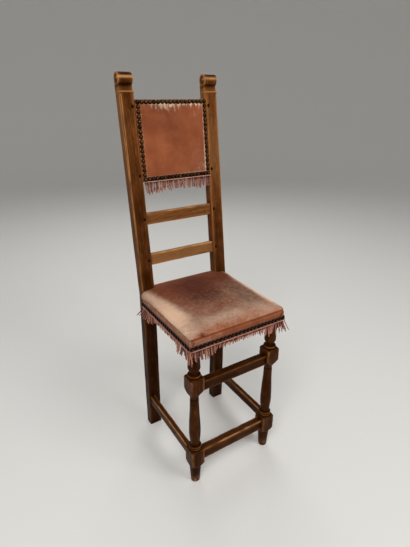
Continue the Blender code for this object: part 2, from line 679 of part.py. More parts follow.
def seat_crown(plan, x, y):
    # The crown's height, which stays fuller towards the rear.
    along = (2 * y - plan["rear"] - plan["front"]) / (plan["rear"] - plan["front"])
    rearward = max(along, 0.0)
    across = 1 - abs(x / plan["side"]) ** (2 + SEAT_BACK_FULLNESS * rearward)
    fall = SEAT_BACK_FALL if along > 0 else 1.0
    return SEAT_CROWN * across * (1 - fall * along ** 2)


def edge_lines(start, stop, cells, inner=False):
    # Grid lines between two edges, close together at the rolled edges.
    bend = EDGE_ROLL_SHARE * EDGE_ROLL_WIDTH
    near = [start, start + bend, start + EDGE_ROLL_WIDTH]
    far = [stop] if inner else [stop - EDGE_ROLL_WIDTH, stop - bend, stop]
    low = near[-1]
    high = far[0]
    return near + [low + (high - low) * step / cells for step in range(1, cells)] + far


def seat_sheet(plan, border_z):
    # The crowned top of the seat as an open sheet, notched round the posts, level along its free border.
    side_lines = edge_lines(-plan["side"], -plan["notch_x"], 2, inner=True)
    middle = edge_lines(-plan["notch_x"], plan["notch_x"], SEAT_CELLS)
    xs = side_lines[:-1] + middle + [-x for x in reversed(side_lines[:-1])]
    rear_bend = plan["rear"] - EDGE_ROLL_SHARE * EDGE_ROLL_WIDTH
    rear_roll = [plan["rear"] - EDGE_ROLL_WIDTH, rear_bend, plan["rear"]]
    ys = edge_lines(plan["front"], plan["notch_y"], SEAT_CELLS) + rear_roll
    columns = len(xs) - 1
    rows = len(ys) - 1
    bm = bmesh.new()
    bmesh.ops.create_grid(bm, x_segments=columns, y_segments=rows, size=0.5)
    for vert in bm.verts:
        x = xs[round((vert.co.x + 0.5) * columns)]
        y = ys[round((vert.co.y + 0.5) * rows)]
        inward = min(max(seat_edge_distance(plan, x, y), 0.0) / EDGE_ROLL_WIDTH, 1.0)
        roll = EDGE_ROLL_HEIGHT * math.sqrt(1 - (1 - inward) ** 2)
        crown = seat_crown(plan, x, y) if inward > 0 else 0.0
        vert.co = (x, y, border_z + roll + crown)
    in_notch = []
    for face in bm.faces:
        centre = face.calc_center_median()
        if abs(centre.x) > plan["notch_x"] and centre.y > plan["notch_y"]:
            in_notch.append(face)
    bmesh.ops.delete(bm, geom=in_notch, context="FACES")
    return bm


def drop_border(bm, height_at):
    # Extrudes the open border straight down, each point to its own height. Returns the new border edges.
    border = [edge for edge in bm.edges if edge.is_boundary]
    grown = bmesh.ops.extrude_edge_only(bm, edges=border)["geom"]
    for vert in grown:
        if isinstance(vert, bmesh.types.BMVert):
            vert.co.z = height_at(vert.co.x, vert.co.y)
    return [edge for edge in grown if isinstance(edge, bmesh.types.BMEdge)]


def build_seat_upholstery():
    # Base cloth, stuffing and velvet cover, all notched round the posts.
    cloth = seat_plan(COVER_THICKNESS + CLOTH_MARGIN)
    right_half = [
        (cloth["side"], cloth["front"]),
        (cloth["side"], cloth["notch_y"]),
        (cloth["notch_x"], cloth["notch_y"]),
        (cloth["notch_x"], cloth["rear"]),
    ]
    outline = right_half + [(-x, y) for x, y in reversed(right_half)]
    mesh = outline_mesh("seat_base_cloth", outline, BASE_CLOTH)
    place("seat_base_cloth", mesh, hessian, post_line, (0.0, 0.0, BASE_CLOTH_Z + BASE_CLOTH / 2))

    bm = seat_sheet(seat_plan(STUFFING_INSET), SEAT_BORDER_Z - STUFFING_INSET)
    rim = drop_border(bm, lambda x, y: STUFFING_BOTTOM)
    bmesh.ops.contextual_create(bm, geom=rim)
    mesh = mesh_of(bm, "seat_stuffing")
    shade_round(mesh)
    place("seat_stuffing", mesh, hair, post_line)

    plan = seat_plan(0.0)
    bm = seat_sheet(plan, SEAT_BORDER_Z)
    drop_border(bm, lambda x, y: COVER_BOTTOM)
    mesh = mesh_of(bm, "seat_cover")
    shade_round(mesh)
    cover = place("seat_cover", mesh, velvet, post_line)
    thicken(cover, COVER_THICKNESS, -1.0)
    inner = seat_plan(COVER_THICKNESS + GAP)
    wide = plan["side"] - inner["notch_x"] + CUT_LEAD
    deep = plan["rear"] - inner["notch_y"] + CUT_LEAD
    tall = STUFFING_BOTTOM - COVER_BOTTOM + CUT_LEAD
    for label, side in SIDES:
        # At the posts the cover stops above the rails.
        name = f"seat_cover notch {label}"
        x = side * (inner["notch_x"] + wide / 2)
        spot = (x, inner["notch_y"] + deep / 2, STUFFING_BOTTOM - tall / 2)
        cut(cover, place_cutter(name, box_mesh(name, (wide, deep, tall)), post_line, spot))


def panel_sheet(half_width, bottom, top, crown):
    # A crowned sheet in XY with its crown along +Z, level along its border.
    border = NAIL_WIDTH + GAP
    middle = (bottom + top) / 2
    half_height = (top - bottom) / 2
    bm = bmesh.new()
    bmesh.ops.create_grid(bm, x_segments=PANEL_CELLS, y_segments=PANEL_CELLS, size=1.0)
    for vert in bm.verts:
        shares = []
        place_xy = []
        for along, half in ((vert.co.x, half_width), (vert.co.y, half_height)):
            step = round((along + 1) / 2 * PANEL_CELLS)
            flat = half - border
            inner = PANEL_CELLS - 2
            spot = -flat + 2 * flat * (step - 1) / inner
            if step in (0, PANEL_CELLS):
                spot = math.copysign(half, along)
            shares.append(1 - min(abs(spot) / flat, 1.0) ** 2)
            place_xy.append(spot)
        vert.co = (place_xy[0], place_xy[1] + middle, crown * shares[0] * shares[1])
    return bm


def build_panel_upholstery():
    # Base cloth, stuffing, velvet cover and rear lining of the back panel.
    facing = (math.pi / 2, 0.0, 0.0)
    cloth_half = PANEL_HALF - COVER_THICKNESS - GAP
    cloth_low = PANEL_BOTTOM + COVER_THICKNESS + GAP
    cloth_high = PANEL_TOP - COVER_THICKNESS - GAP
    cloth_middle = (cloth_low + cloth_high) / 2
    size = (2 * cloth_half, BASE_CLOTH, cloth_high - cloth_low)
    cloth_back = PANEL_SETBACK - GAP
    spot = (0.0, cloth_back - BASE_CLOTH / 2, cloth_middle)
    place("panel_base_cloth", box_mesh("panel_base_cloth", size), hessian, raked_back, spot)

    stuffing_back = cloth_back - BASE_CLOTH - GAP
    stuffing_front = COVER_THICKNESS + GAP
    bm = panel_sheet(cloth_half, cloth_low, cloth_high, PANEL_CROWN - STUFFING_EASE)
    rim = drop_border(bm, lambda x, y: stuffing_front - stuffing_back)
    bmesh.ops.contextual_create(bm, geom=rim)
    mesh = mesh_of(bm, "panel_stuffing")
    shade_round(mesh)
    place("panel_stuffing", mesh, hair, raked_back, (0.0, stuffing_front, 0.0), facing)

    bm = panel_sheet(PANEL_HALF, PANEL_BOTTOM, PANEL_TOP, PANEL_CROWN)
    drop_border(bm, lambda x, y: -cloth_back)
    mesh = mesh_of(bm, "panel_cover")
    shade_round(mesh)
    cover = place("panel_cover", mesh, velvet, raked_back, (0.0, 0.0, 0.0), facing)
    thicken(cover, COVER_THICKNESS, -1.0)

    lining_y = PANEL_SETBACK + PANEL_RAIL_THICKNESS + GAP + BASE_CLOTH / 2
    spot = (0.0, lining_y, cloth_middle)
    place("panel_lining", box_mesh("panel_lining", size), lining, raked_back, spot)


def nail_row_mesh(name, length):
    # A row of touching nail heads along X, as one flattened string of beads.
    count = max(round(length / NAIL_PITCH), 1)
    pitch = length / count
    curve = bpy.data.curves.new(name, "CURVE")
    curve.dimensions = "3D"
    curve.bevel_depth = NAIL_WIDTH / 2
    curve.bevel_resolution = 1
    curve.use_fill_caps = True
    spline = curve.splines.new("POLY")
    spline.points.add(2 * count)
    for index, point in enumerate(spline.points):
        point.co = (-length / 2 + index * pitch / 2, 0.0, 0.0, 1.0)
        point.radius = 1.0 if index % 2 else NAIL_WAIST
    bm = surface_of(curve)
    depth = max(vert.co.y for vert in bm.verts) - min(vert.co.y for vert in bm.verts)
    bmesh.ops.scale(bm, vec=(1.0, NAIL_HEIGHT / depth, 1.0), verts=bm.verts)
    return mesh_of(bm, name)


def fringe_mesh(name, length, worn, lean=0.0):
    # A strip of fringe along X: a header tape with strands hung from its lower edge, which is at Z 0.
    # The strands lean back from the header's plane, so that they hang plumb from a raked header.
    count = max(round(length / FRINGE_PITCH), 1)
    pitch = length / count
    points = [(-length / 2, FRINGE_HEADER), (-length / 2, 0.0)]
    for index in range(count):
        x = -length / 2 + (index + 0.5) * pitch
        reach = abs(2 * x / length)
        fullness = min(max((reach - FRINGE_FULL_FROM) / FRINGE_FULL_RAMP, 0.0), 1.0)
        share = worn + (1 - worn) * fullness ** 2 * (3 - 2 * fullness)
        drop = FRINGE_LENGTH * share * (1 - FRINGE_UNEVEN * (1 - math.sin(UNEVEN_STEP * index)))
        sway = FRINGE_SWAY * math.sin(SWAY_STEP * index)
        points += [
            (x - STRAND_WIDTH / 2, 0.0),
            (x - STRAND_TIP / 2 + sway, -drop),
            (x + STRAND_TIP / 2 + sway, -drop),
            (x + STRAND_WIDTH / 2, 0.0),
        ]
    points += [(length / 2, 0.0), (length / 2, FRINGE_HEADER)]
    mesh = outline_mesh(name, points, FRINGE_THICKNESS)
    mesh.transform(STAND_UP)
    for vert in mesh.vertices:
        vert.co.y -= min(vert.co.z, 0.0) * math.tan(lean)
    return mesh


def build_seat_trim():
    # Fringe and nails on the front and sides of the seat, and nails alone at the rear.
    plan = seat_plan(0.0)
    header_z = SEAT_NAIL_LINE - FRINGE_HEADER / 2
    fringe_out = GAP + FRINGE_THICKNESS / 2
    nails_out = TRIM_OUT + NAIL_HEIGHT / 2
    wide = 2 * (plan["side"] + TRIM_OUT)
    depth = plan["notch_y"] - plan["front"]
    side_y = (plan["notch_y"] + plan["front"]) / 2
    front = plan["front"]
    mesh = fringe_mesh("seat_fringe_front", wide, FRINGE_WORN)
    place("seat_fringe_front", mesh, fringe, post_line, (0.0, front - fringe_out, header_z))
    mesh = nail_row_mesh("seat_nails_front", wide)
    place("seat_nails_front", mesh, brass, post_line, (0.0, front - nails_out, SEAT_NAIL_LINE))
    for label, side in SIDES:
        turn = (0.0, 0.0, side * math.pi / 2)
        mesh = fringe_mesh(f"seat_fringe_{label}", depth, FRINGE_WORN)
        spot = (side * (plan["side"] + fringe_out), side_y, header_z)
        place(mesh.name, mesh, fringe, post_line, spot, turn)
        mesh = nail_row_mesh(f"seat_nails_{label}", depth)
        spot = (side * (plan["side"] + nails_out), side_y, SEAT_NAIL_LINE)
        place(mesh.name, mesh, brass, post_line, spot, turn)
    mesh = nail_row_mesh("seat_nails_rear", 2 * (plan["notch_x"] - EDGE_ROLL_WIDTH))
    spot = (0.0, plan["rear"] + GAP + NAIL_HEIGHT / 2, SEAT_NAIL_LINE)
    place("seat_nails_rear", mesh, brass, post_line, spot)


def build_panel_trim():
    # Nails all round the back panel, and fringe under its lower nails.
    edge = NAIL_WIDTH / 2
    bottom = PANEL_BOTTOM + edge
    top = PANEL_TOP - edge
    on_cover = -GAP - NAIL_HEIGHT / 2
    mesh = fringe_mesh("panel_fringe", 2 * PANEL_HALF, 1.0, RAKE)
    spot = (0.0, -GAP - FRINGE_THICKNESS / 2, bottom - FRINGE_HEADER / 2)
    place("panel_fringe", mesh, fringe, raked_back, spot)
    mesh = nail_row_mesh("panel_nails_bottom", 2 * PANEL_HALF)
    place("panel_nails_bottom", mesh, brass, raked_back, (0.0, -TRIM_OUT - NAIL_HEIGHT / 2, bottom))
    mesh = nail_row_mesh("panel_nails_top", 2 * PANEL_HALF)
    place("panel_nails_top", mesh, brass, raked_back, (0.0, on_cover, top))
    side_low = bottom - edge + FRINGE_HEADER + GAP
    side_high = top - edge - GAP
    for label, side in SIDES:
        mesh = nail_row_mesh(f"panel_nails_{label}", side_high - side_low)
        spot = (side * (PANEL_HALF - edge), on_cover, (side_low + side_high) / 2)
        place(mesh.name, mesh, brass, raked_back, spot, (0.0, math.pi / 2, 0.0))


for old in list(bpy.data.objects):
    bpy.data.objects.remove(old)

chair = bpy.data.collections.new("high_back_chair")
cutters = bpy.data.collections.new("cutters")
bpy.context.scene.collection.children.link(chair)
bpy.context.scene.collection.children.link(cutters)

oak = new_material("oak", (0.30, 0.14, 0.05), 0.45)
peg_oak = new_material("peg oak", (0.06, 0.03, 0.015), 0.6)
velvet = new_material("velvet", (0.36, 0.13, 0.07), 0.9)
fringe = new_material("fringe", (0.42, 0.17, 0.13), 0.9)
brass = new_material("antique brass", (0.10, 0.075, 0.045), 0.35, 1.0)
jute = new_material("jute", (0.45, 0.34, 0.20), 0.95)
hessian = new_material("hessian", (0.50, 0.39, 0.25), 0.95)
hair = new_material("stuffing", (0.20, 0.15, 0.11), 1.0)
lining = new_material("lining", (0.10, 0.06, 0.05), 0.95)

post_line = new_empty("post_line", None, (0.0, POST_LINE_Y, 0.0))
raked_back = new_empty("raked_back", post_line, (0.0, 0.0, KNEE_HEIGHT), (-RAKE, 0.0, 0.0))

back_posts = build_posts()
front_legs = build_legs()
build_cross_bars(back_posts, front_legs)
build_side_bars(back_posts, front_legs)
build_slats(back_posts)
build_panel_frame(back_posts)
build_corner_blocks()
build_webbing()
build_seat_upholstery()
build_panel_upholstery()
build_seat_trim()
build_panel_trim()
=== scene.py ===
import math
import random

import bmesh
import bpy
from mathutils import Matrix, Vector, kdtree, noise


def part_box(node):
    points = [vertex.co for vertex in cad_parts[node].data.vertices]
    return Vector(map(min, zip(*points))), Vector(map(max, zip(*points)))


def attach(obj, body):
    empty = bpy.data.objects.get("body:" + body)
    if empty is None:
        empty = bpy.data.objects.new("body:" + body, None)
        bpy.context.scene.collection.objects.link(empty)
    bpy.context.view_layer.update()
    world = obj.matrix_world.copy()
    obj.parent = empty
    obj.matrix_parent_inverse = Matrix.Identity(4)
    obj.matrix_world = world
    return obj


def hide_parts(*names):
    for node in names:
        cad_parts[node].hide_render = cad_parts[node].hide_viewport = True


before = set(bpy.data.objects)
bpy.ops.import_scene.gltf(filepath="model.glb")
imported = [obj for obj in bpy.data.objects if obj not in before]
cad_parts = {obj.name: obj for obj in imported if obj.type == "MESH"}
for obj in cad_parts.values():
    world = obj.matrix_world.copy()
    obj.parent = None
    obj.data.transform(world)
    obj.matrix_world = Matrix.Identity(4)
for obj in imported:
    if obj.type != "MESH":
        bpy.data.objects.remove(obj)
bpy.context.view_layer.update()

print("frame loaded:", len(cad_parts), "nodes")

# sizes of the chair's frame in metres, as the solids have them
chair = {
    "depth": 0.253,  # front legs' front faces to the posts' front faces
    "knee": 0.450,  # the posts lean back above this
    "rake": math.radians(6.6),
    "postDepth": 0.027,
    "splay": 0.007,
    "crossTenon": 0.018,
    "legTenon": 0.0175,
    "sideTenon": 0.017,
    "padClear": 0.0003,  # from the seat's cover to the posts
}
nearly = 1e-6  # closer than this counts as the same place
sharpFrom = math.radians(50)  # edges that turn by more are shaded sharp
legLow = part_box("front_leg_left")[0]
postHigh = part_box("back_post_left")[1]
postLineY = legLow.y + chair["depth"]
postInner = -postHigh.x
sinRake = math.sin(chair["rake"])
cosRake = math.cos(chair["rake"])
sides = (("left", -1), ("right", 1))


def raked(x, t, s):  # t behind the posts' front faces, s up the post from the knee
    return Vector((x, postLineY + t * cosRake + s * sinRake, chair["knee"] + s * cosRake - t * sinRake))


def unraked(point):  # the other way: x, t and s of a world point
    y = point.y - postLineY
    z = point.z - chair["knee"]
    return point.x, y * cosRake - z * sinRake, y * sinRake + z * cosRake


axisX = Vector((1, 0, 0))
axisY = Vector((0, 1, 0))
axisZ = Vector((0, 0, 1))
intoPost = (raked(0, 1, 0) - raked(0, 0, 0)).normalized()
offPanel = (raked(0, -1, 0) - raked(0, 0, 0)).normalized()
upPost = (raked(0, 0, 1) - raked(0, 0, 0)).normalized()


def smooth(low, high, value):
    share = min(max((value - low) / (high - low), 0.0), 1.0)
    return share * share * (3 - 2 * share)


def blob(value, centre, width):
    return math.exp(-((value - centre) / width) ** 2)


def patch(a, b, spot):  # a soft oval: spot holds its strength, its centre and its half widths
    strength, centreA, centreB, widthA, widthB = spot
    return strength * math.exp(-(((a - centreA) / widthA) ** 2 + ((b - centreB) / widthB) ** 2))


def rough(x, y, z, scale, seed=0.0):
    return noise.noise(Vector((x * scale + seed, y * scale - seed, z * scale + 2 * seed)))


def rgb(red, green, blue):  # a colour as a screen shows it, made linear
    channels = []
    for value in (red, green, blue):
        share = value / 255
        channels.append(share / 12.92 if share <= 0.04045 else ((share + 0.055) / 1.055) ** 2.4)
    return (*channels, 1.0)


# node helpers
def addNode(tree, kind, settings, feeds):
    made = tree.nodes.new("ShaderNode" + kind)
    for key, value in settings.items():
        setattr(made, key, value)
    for key, value in feeds.items():
        if isinstance(value, bpy.types.NodeSocket):
            tree.links.new(value, made.inputs[key])
        else:
            made.inputs[key].default_value = value
    return made


def mixOf(tree, share, first, second, how="MIX"):
    settings = {"data_type": "RGBA", "blend_type": how}
    return addNode(tree, "Mix", settings, {0: share, 6: first, 7: second}).outputs[2]


def mathOf(tree, how, first, second=0.0, clamp=False):
    return addNode(tree, "Math", {"operation": how, "use_clamp": clamp}, {0: first, 1: second}).outputs[0]


def plusOf(tree, first, second):
    return mathOf(tree, "ADD", first, second)


def timesOf(tree, first, second, clamp=False):
    return mathOf(tree, "MULTIPLY", first, second, clamp)


def swayOf(tree, value, reach):  # a noise turned into a push both ways
    return timesOf(tree, mathOf(tree, "SUBTRACT", value, 0.5), reach)


def noiseOf(tree, vector, scale, detail=3.0, roughness=0.55, distortion=0.0):
    feeds = {"Vector": vector, "Scale": scale, "Detail": detail,
             "Roughness": roughness, "Distortion": distortion}
    return addNode(tree, "TexNoise", {}, feeds).outputs["Fac"]


def vectorOf(tree, how, feeds):
    return addNode(tree, "VectorMath", {"operation": how}, feeds).outputs[0]


def stretchOf(tree, vector, scale):
    return vectorOf(tree, "MULTIPLY", {0: vector, 1: scale})


def dimOf(tree, colour, share):
    return vectorOf(tree, "SCALE", {0: colour, "Scale": share})


def rangeOf(tree, value, low, high, toLow=0.0, toHigh=1.0):
    feeds = {"Value": value, "From Min": low, "From Max": high, "To Min": toLow, "To Max": toHigh}
    return addNode(tree, "MapRange", {"interpolation_type": "SMOOTHSTEP"}, feeds).outputs[0]


def readOf(tree, name, kind="Fac"):
    return addNode(tree, "Attribute", {"attribute_name": name}, {}).outputs[kind]


def placeOf(tree):
    return addNode(tree, "TexCoord", {}, {}).outputs["Object"]


def bumpOf(tree, height, strength, distance, under=None):
    feeds = {"Height": height, "Strength": strength, "Distance": distance}
    if under is not None:
        feeds["Normal"] = under
    return addNode(tree, "Bump", {}, feeds).outputs["Normal"]


def newFinish(name, **sockets):
    finish = bpy.data.materials.new(name)
    finish.use_nodes = True
    shader = finish.node_tree.nodes["Principled BSDF"]
    for key, value in sockets.items():
        shader.inputs[key].default_value = value
    return finish, finish.node_tree, shader.inputs


# oak: grain runs along the piece, arrises rubbed pale, old wax, dirt and painted shade in the low and
# sheltered places, and painted highlights
oakLook = {
    "deep": rgb(44, 20, 8),
    "brown": rgb(77, 41, 17),
    "honey": rgb(118, 70, 33),
    "amber": rgb(74, 33, 10),
    "rubbed": rgb(170, 108, 52),
    # light colour for painted highlights and painted light, and for the pale scuffs on the feet
    "paintedLightAndScuff": rgb(194, 142, 90),
    # dark colour for dirt and for painted shade
    "dirtAndShade": rgb(33, 10, 0),
    "shine": rgb(255, 190, 140),
    "specular": 0.05,
    "ringWidth": 0.0050,
    "waveStep": 0.314,  # spacing of the ring texture at scale 1
    "heart": (0.035, 0.05, 0),  # how far the rings' middle lies off the piece's
    "ringStretch": (1, 1, 0.05),
    # noises: how fast each changes across the grain, twice, and along it
    "warp": (26, 26, 3.2),
    "fibre": (900, 900, 16),
    "pores": (1900, 1900, 70),
    "patina": (34, 34, 13),
    "streaks": (210, 210, 5),
    "blotch": (170, 170, 62),
}


def makeOak():
    sockets = {"Specular Tint": oakLook["shine"], "Specular IOR Level": oakLook["specular"]}
    finish, tree, inputs = newFinish("waxed oak", **sockets)
    grain = readOf(tree, "grain", "Vector")

    def grained(key, *noiseShape):
        return noiseOf(tree, stretchOf(tree, grain, oakLook[key]), 1.0, *noiseShape)

    bent = vectorOf(tree, "MULTIPLY_ADD", {0: grain, 1: oakLook["ringStretch"], 2: oakLook["heart"]})
    bent = vectorOf(tree, "ADD", {0: bent, 1: swayOf(tree, grained("warp", 2.0), 0.030)})
    ringScale = oakLook["waveStep"] / oakLook["ringWidth"]
    ringFeeds = {"Vector": bent, "Scale": ringScale, "Distortion": 1.2, "Detail": 2.0}
    ringKind = {"wave_type": "RINGS", "rings_direction": "Z"}
    rings = addNode(tree, "TexWave", ringKind, ringFeeds).outputs["Fac"]
    fibre = grained("fibre", 3.0, 0.6)
    pores = grained("pores", 2.0, 0.5)
    patina = grained("patina", 5.0, 0.62)
    streaks = grained("streaks", 3.0, 0.6)
    blotch = grained("blotch", 4.0, 0.66, 0.6)
    tone = plusOf(tree, timesOf(tree, rings, 0.14), timesOf(tree, fibre, 0.46))
    tone = plusOf(tree, tone, timesOf(tree, streaks, 0.40))
    wood = mixOf(tree, rangeOf(tree, tone, 0.30, 0.72), oakLook["brown"], oakLook["honey"])
    wood = mixOf(tree, rangeOf(tree, patina, 0.44, 0.66, 0.0, 0.75), wood, oakLook["amber"])
    wood = mixOf(tree, rangeOf(tree, pores, 0.55, 0.70, 0.0, 0.70), wood, oakLook["deep"])
    wood = dimOf(tree, wood, rangeOf(tree, blotch, 0.3, 0.7, 0.72, 1.24))
    # dirt and painted shade, as the points carry them
    dirtAndShade = timesOf(tree, readOf(tree, "dirtAndShade"), rangeOf(tree, patina, 0.2, 0.7, 0.75, 1.1), clamp=True)
    wood = mixOf(tree, dirtAndShade, wood, oakLook["dirtAndShade"])
    rub = timesOf(tree, readOf(tree, "wear"), rangeOf(tree, patina, 0.40, 0.60, 0.12, 1.0))
    rub = timesOf(tree, rub, rangeOf(tree, fibre, 0.3, 0.6, 0.45, 1.0), clamp=True)
    rub = timesOf(tree, rub, rangeOf(tree, dirtAndShade, 0.0, 1.0, 0.85, 0.36))
    wood = mixOf(tree, rub, wood, oakLook["rubbed"])
    # painted highlights and painted light, and pale scuffs
    paintedLightAndScuff = timesOf(tree, readOf(tree, "paintedLightAndScuff"), rangeOf(tree, patina, 0.32, 0.6, 0.55, 1.0), clamp=True)
    wood = mixOf(tree, paintedLightAndScuff, wood, oakLook["paintedLightAndScuff"])
    tree.links.new(wood, inputs["Base Color"])
    tree.links.new(rangeOf(tree, patina, 0.3, 0.75, 0.32, 0.52), inputs["Roughness"])
    fineBump = bumpOf(tree, pores, 0.35, 0.0004)
    tree.links.new(bumpOf(tree, rangeOf(tree, tone, 0.2, 0.9), 0.25, 0.0006, fineBump), inputs["Normal"])
    return finish


oak = makeOak()


def faceOutward(mesh):
    bm = bmesh.new()
    bm.from_mesh(mesh)
    bmesh.ops.recalc_face_normals(bm, faces=bm.faces)
    bm.to_mesh(mesh)
    bm.free()


def addPiece(name, points, faces, finish, stands=(), values=None, closed=True):
    mesh = bpy.data.meshes.new(name)
    mesh.from_pydata([tuple(point) for point in points], [], faces)
    for key, data in (values or {}).items():
        if hasattr(data[0], "__len__"):
            layer = mesh.attributes.new(key, "FLOAT_VECTOR", "POINT")
            layer.data.foreach_set("vector", [part for row in data for part in row])
        else:
            layer = mesh.attributes.new(key, "FLOAT", "POINT")
            layer.data.foreach_set("value", data)
    if closed:
        faceOutward(mesh)
    mesh.shade_smooth()
    mesh.set_sharp_from_angle(angle=sharpFrom)
    mesh.materials.append(finish)
    piece = bpy.data.objects.new(name, mesh)
    bpy.context.scene.collection.objects.link(piece)
    if stands:
        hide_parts(*stands)
    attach(piece, "root")
    return piece


def oakValues():  # what the oak finish reads at each point
    return {"grain": [], "wear": [], "dirtAndShade": [], "paintedLightAndScuff": []}


def tubeFaces(ringCount, ringSize, capped=True):
    faces = []
    for ring in range(ringCount - 1):
        for spot in range(ringSize):
            after = (spot + 1) % ringSize
            low = ring * ringSize
            high = low + ringSize
            faces.append((low + spot, low + after, high + after, high + spot))
    if capped:
        faces.append(tuple(reversed(range(ringSize))))
        faces.append(tuple(range((ringCount - 1) * ringSize, ringCount * ringSize)))
    return faces


# sawn oak: a section with soft corners, swept along the piece
section = {
    # each corner's signs of u and v, and the quarter turn where its arc starts
    "corners": ((-1, -1, 2), (1, -1, 3), (1, 1, 0), (-1, 1, 1)),
    "arcSteps": 4,
    "largest": 0.95,  # a corner's radius at most, as a share of either half size
    "flatShares": (0.06, 0.30, 0.70, 0.94),
    "flatWear": (0.30, 0.0, 0.0, 0.30),
    "chamferKept": 0.55,  # share of the wear that a flat chamfer's middle is spared
}


def sectionRing(halfU, halfV, corners):  # corners: radius and flatness, from (-u, -v) anticlockwise
    arcs = []
    for (signU, signV, start), (radius, flat) in zip(section["corners"], corners):
        radius = min(radius, section["largest"] * halfU, section["largest"] * halfV)
        firstU, firstV = math.cos(math.pi / 2 * start), math.sin(math.pi / 2 * start)
        lastU, lastV = math.cos(math.pi / 2 * (start + 1)), math.sin(math.pi / 2 * (start + 1))
        arc = []
        for step in range(section["arcSteps"] + 1):
            share = step / section["arcSteps"]
            turn = math.pi / 2 * (start + share)
            u = math.cos(turn)
            v = math.sin(turn)
            chordU = firstU + (lastU - firstU) * share
            chordV = firstV + (lastV - firstV) * share
            u += (chordU - u) * flat
            v += (chordV - v) * flat
            wear = 1.0 - section["chamferKept"] * flat * (1 - abs(2 * share - 1))
            arc.append((signU * (halfU - radius) + radius * u, signV * (halfV - radius) + radius * v, wear))
        arcs.append(arc)
    ring = []
    for index, arc in enumerate(arcs):
        ring += arc
        after = arcs[(index + 1) % 4][0]
        for share, wear in zip(section["flatShares"], section["flatWear"]):
            u = arc[-1][0] + (after[0] - arc[-1][0]) * share
            v = arc[-1][1] + (after[1] - arc[-1][1]) * share
            ring.append((u, v, wear))
    return ring


woodBars = {
    "arris": 0.0017,
    "letIn": 0.0020,  # how far an end runs into the post or leg
    "spacing": 0.005,
    "wave": 0.00022,  # hand-planed unevenness
    "lowerRub": 0.35,  # rub on the lower arrises beside the upper ones
    "endClear": 0.35,  # the rub fades over this share of the half length
    "jointDirt": 0.35,
    "jointWidth": 0.05,
    "patchy": 0.16,
    "seatShade": (0.75, 0.47, 0.40),  # painted shade under the seat: amount, and the heights between which it comes in
    # darker towards the floor, given the same way
    "floorDirt": (0.12, 0.10, 0.03),
    # rub widens the arrises, soil is a painted shade that darkens all over, bright lightens all over and edge
    # is a painted highlight on the upper arrises
    "bars": {
        "seat_rail_front": {"along": "x", "section": (0.020, 0.032), "tenon": chair["legTenon"]},
        "seat_rail_back": {"along": "x", "section": (0.020, 0.032)},
        "seat_rail_left": {"along": "y", "section": (0.020, 0.032)},
        "seat_rail_right": {"along": "y", "section": (0.020, 0.032)},
        # the upper front stretcher carries extra painted shade
        "upper_front_stretcher": {"along": "x", "section": (0.021, 0.027), "tenon": chair["legTenon"],
                                  "soilAndShade": 0.18, "edge": 0.12},
        "lower_front_stretcher": {"along": "x", "section": (0.021, 0.0315), "tenon": chair["legTenon"],
                                  "rub": 1.6, "edge": 0.42},
        "side_stretcher_left": {"along": "y", "section": (0.015, 0.027), "rub": 1.0, "edge": 0.50},
        "side_stretcher_right": {"along": "y", "section": (0.015, 0.027), "rub": 1.0, "edge": 0.36},
        "back_slat_lower": {"along": "x", "section": (0.015, 0.030), "raked": True,
                            "rub": 0.8, "bright": 0.29, "edge": 0.40},
        "back_slat_upper": {"along": "x", "section": (0.015, 0.030), "raked": True,
                            "rub": 0.8, "bright": 0.09, "edge": 0.28},
        "panel_rail_bottom": {"along": "x", "section": (0.018, 0.027), "raked": True},
        "panel_rail_top": {"along": "x", "section": (0.018, 0.027), "raked": True},
        "panel_stile_left": {"along": "s", "section": (0.018, 0.018), "length": 0.1328},
        "panel_stile_right": {"along": "s", "section": (0.018, 0.018), "length": 0.1328},
    },
}


def lowFrameShade(z):  # painted shade under the seat, and darker towards the floor
    underSeat, seatFrom, seatTo = woodBars["seatShade"]
    byFloor, floorFrom, floorTo = woodBars["floorDirt"]
    return underSeat * smooth(seatFrom, seatTo, z) + byFloor * smooth(floorFrom, floorTo, z)


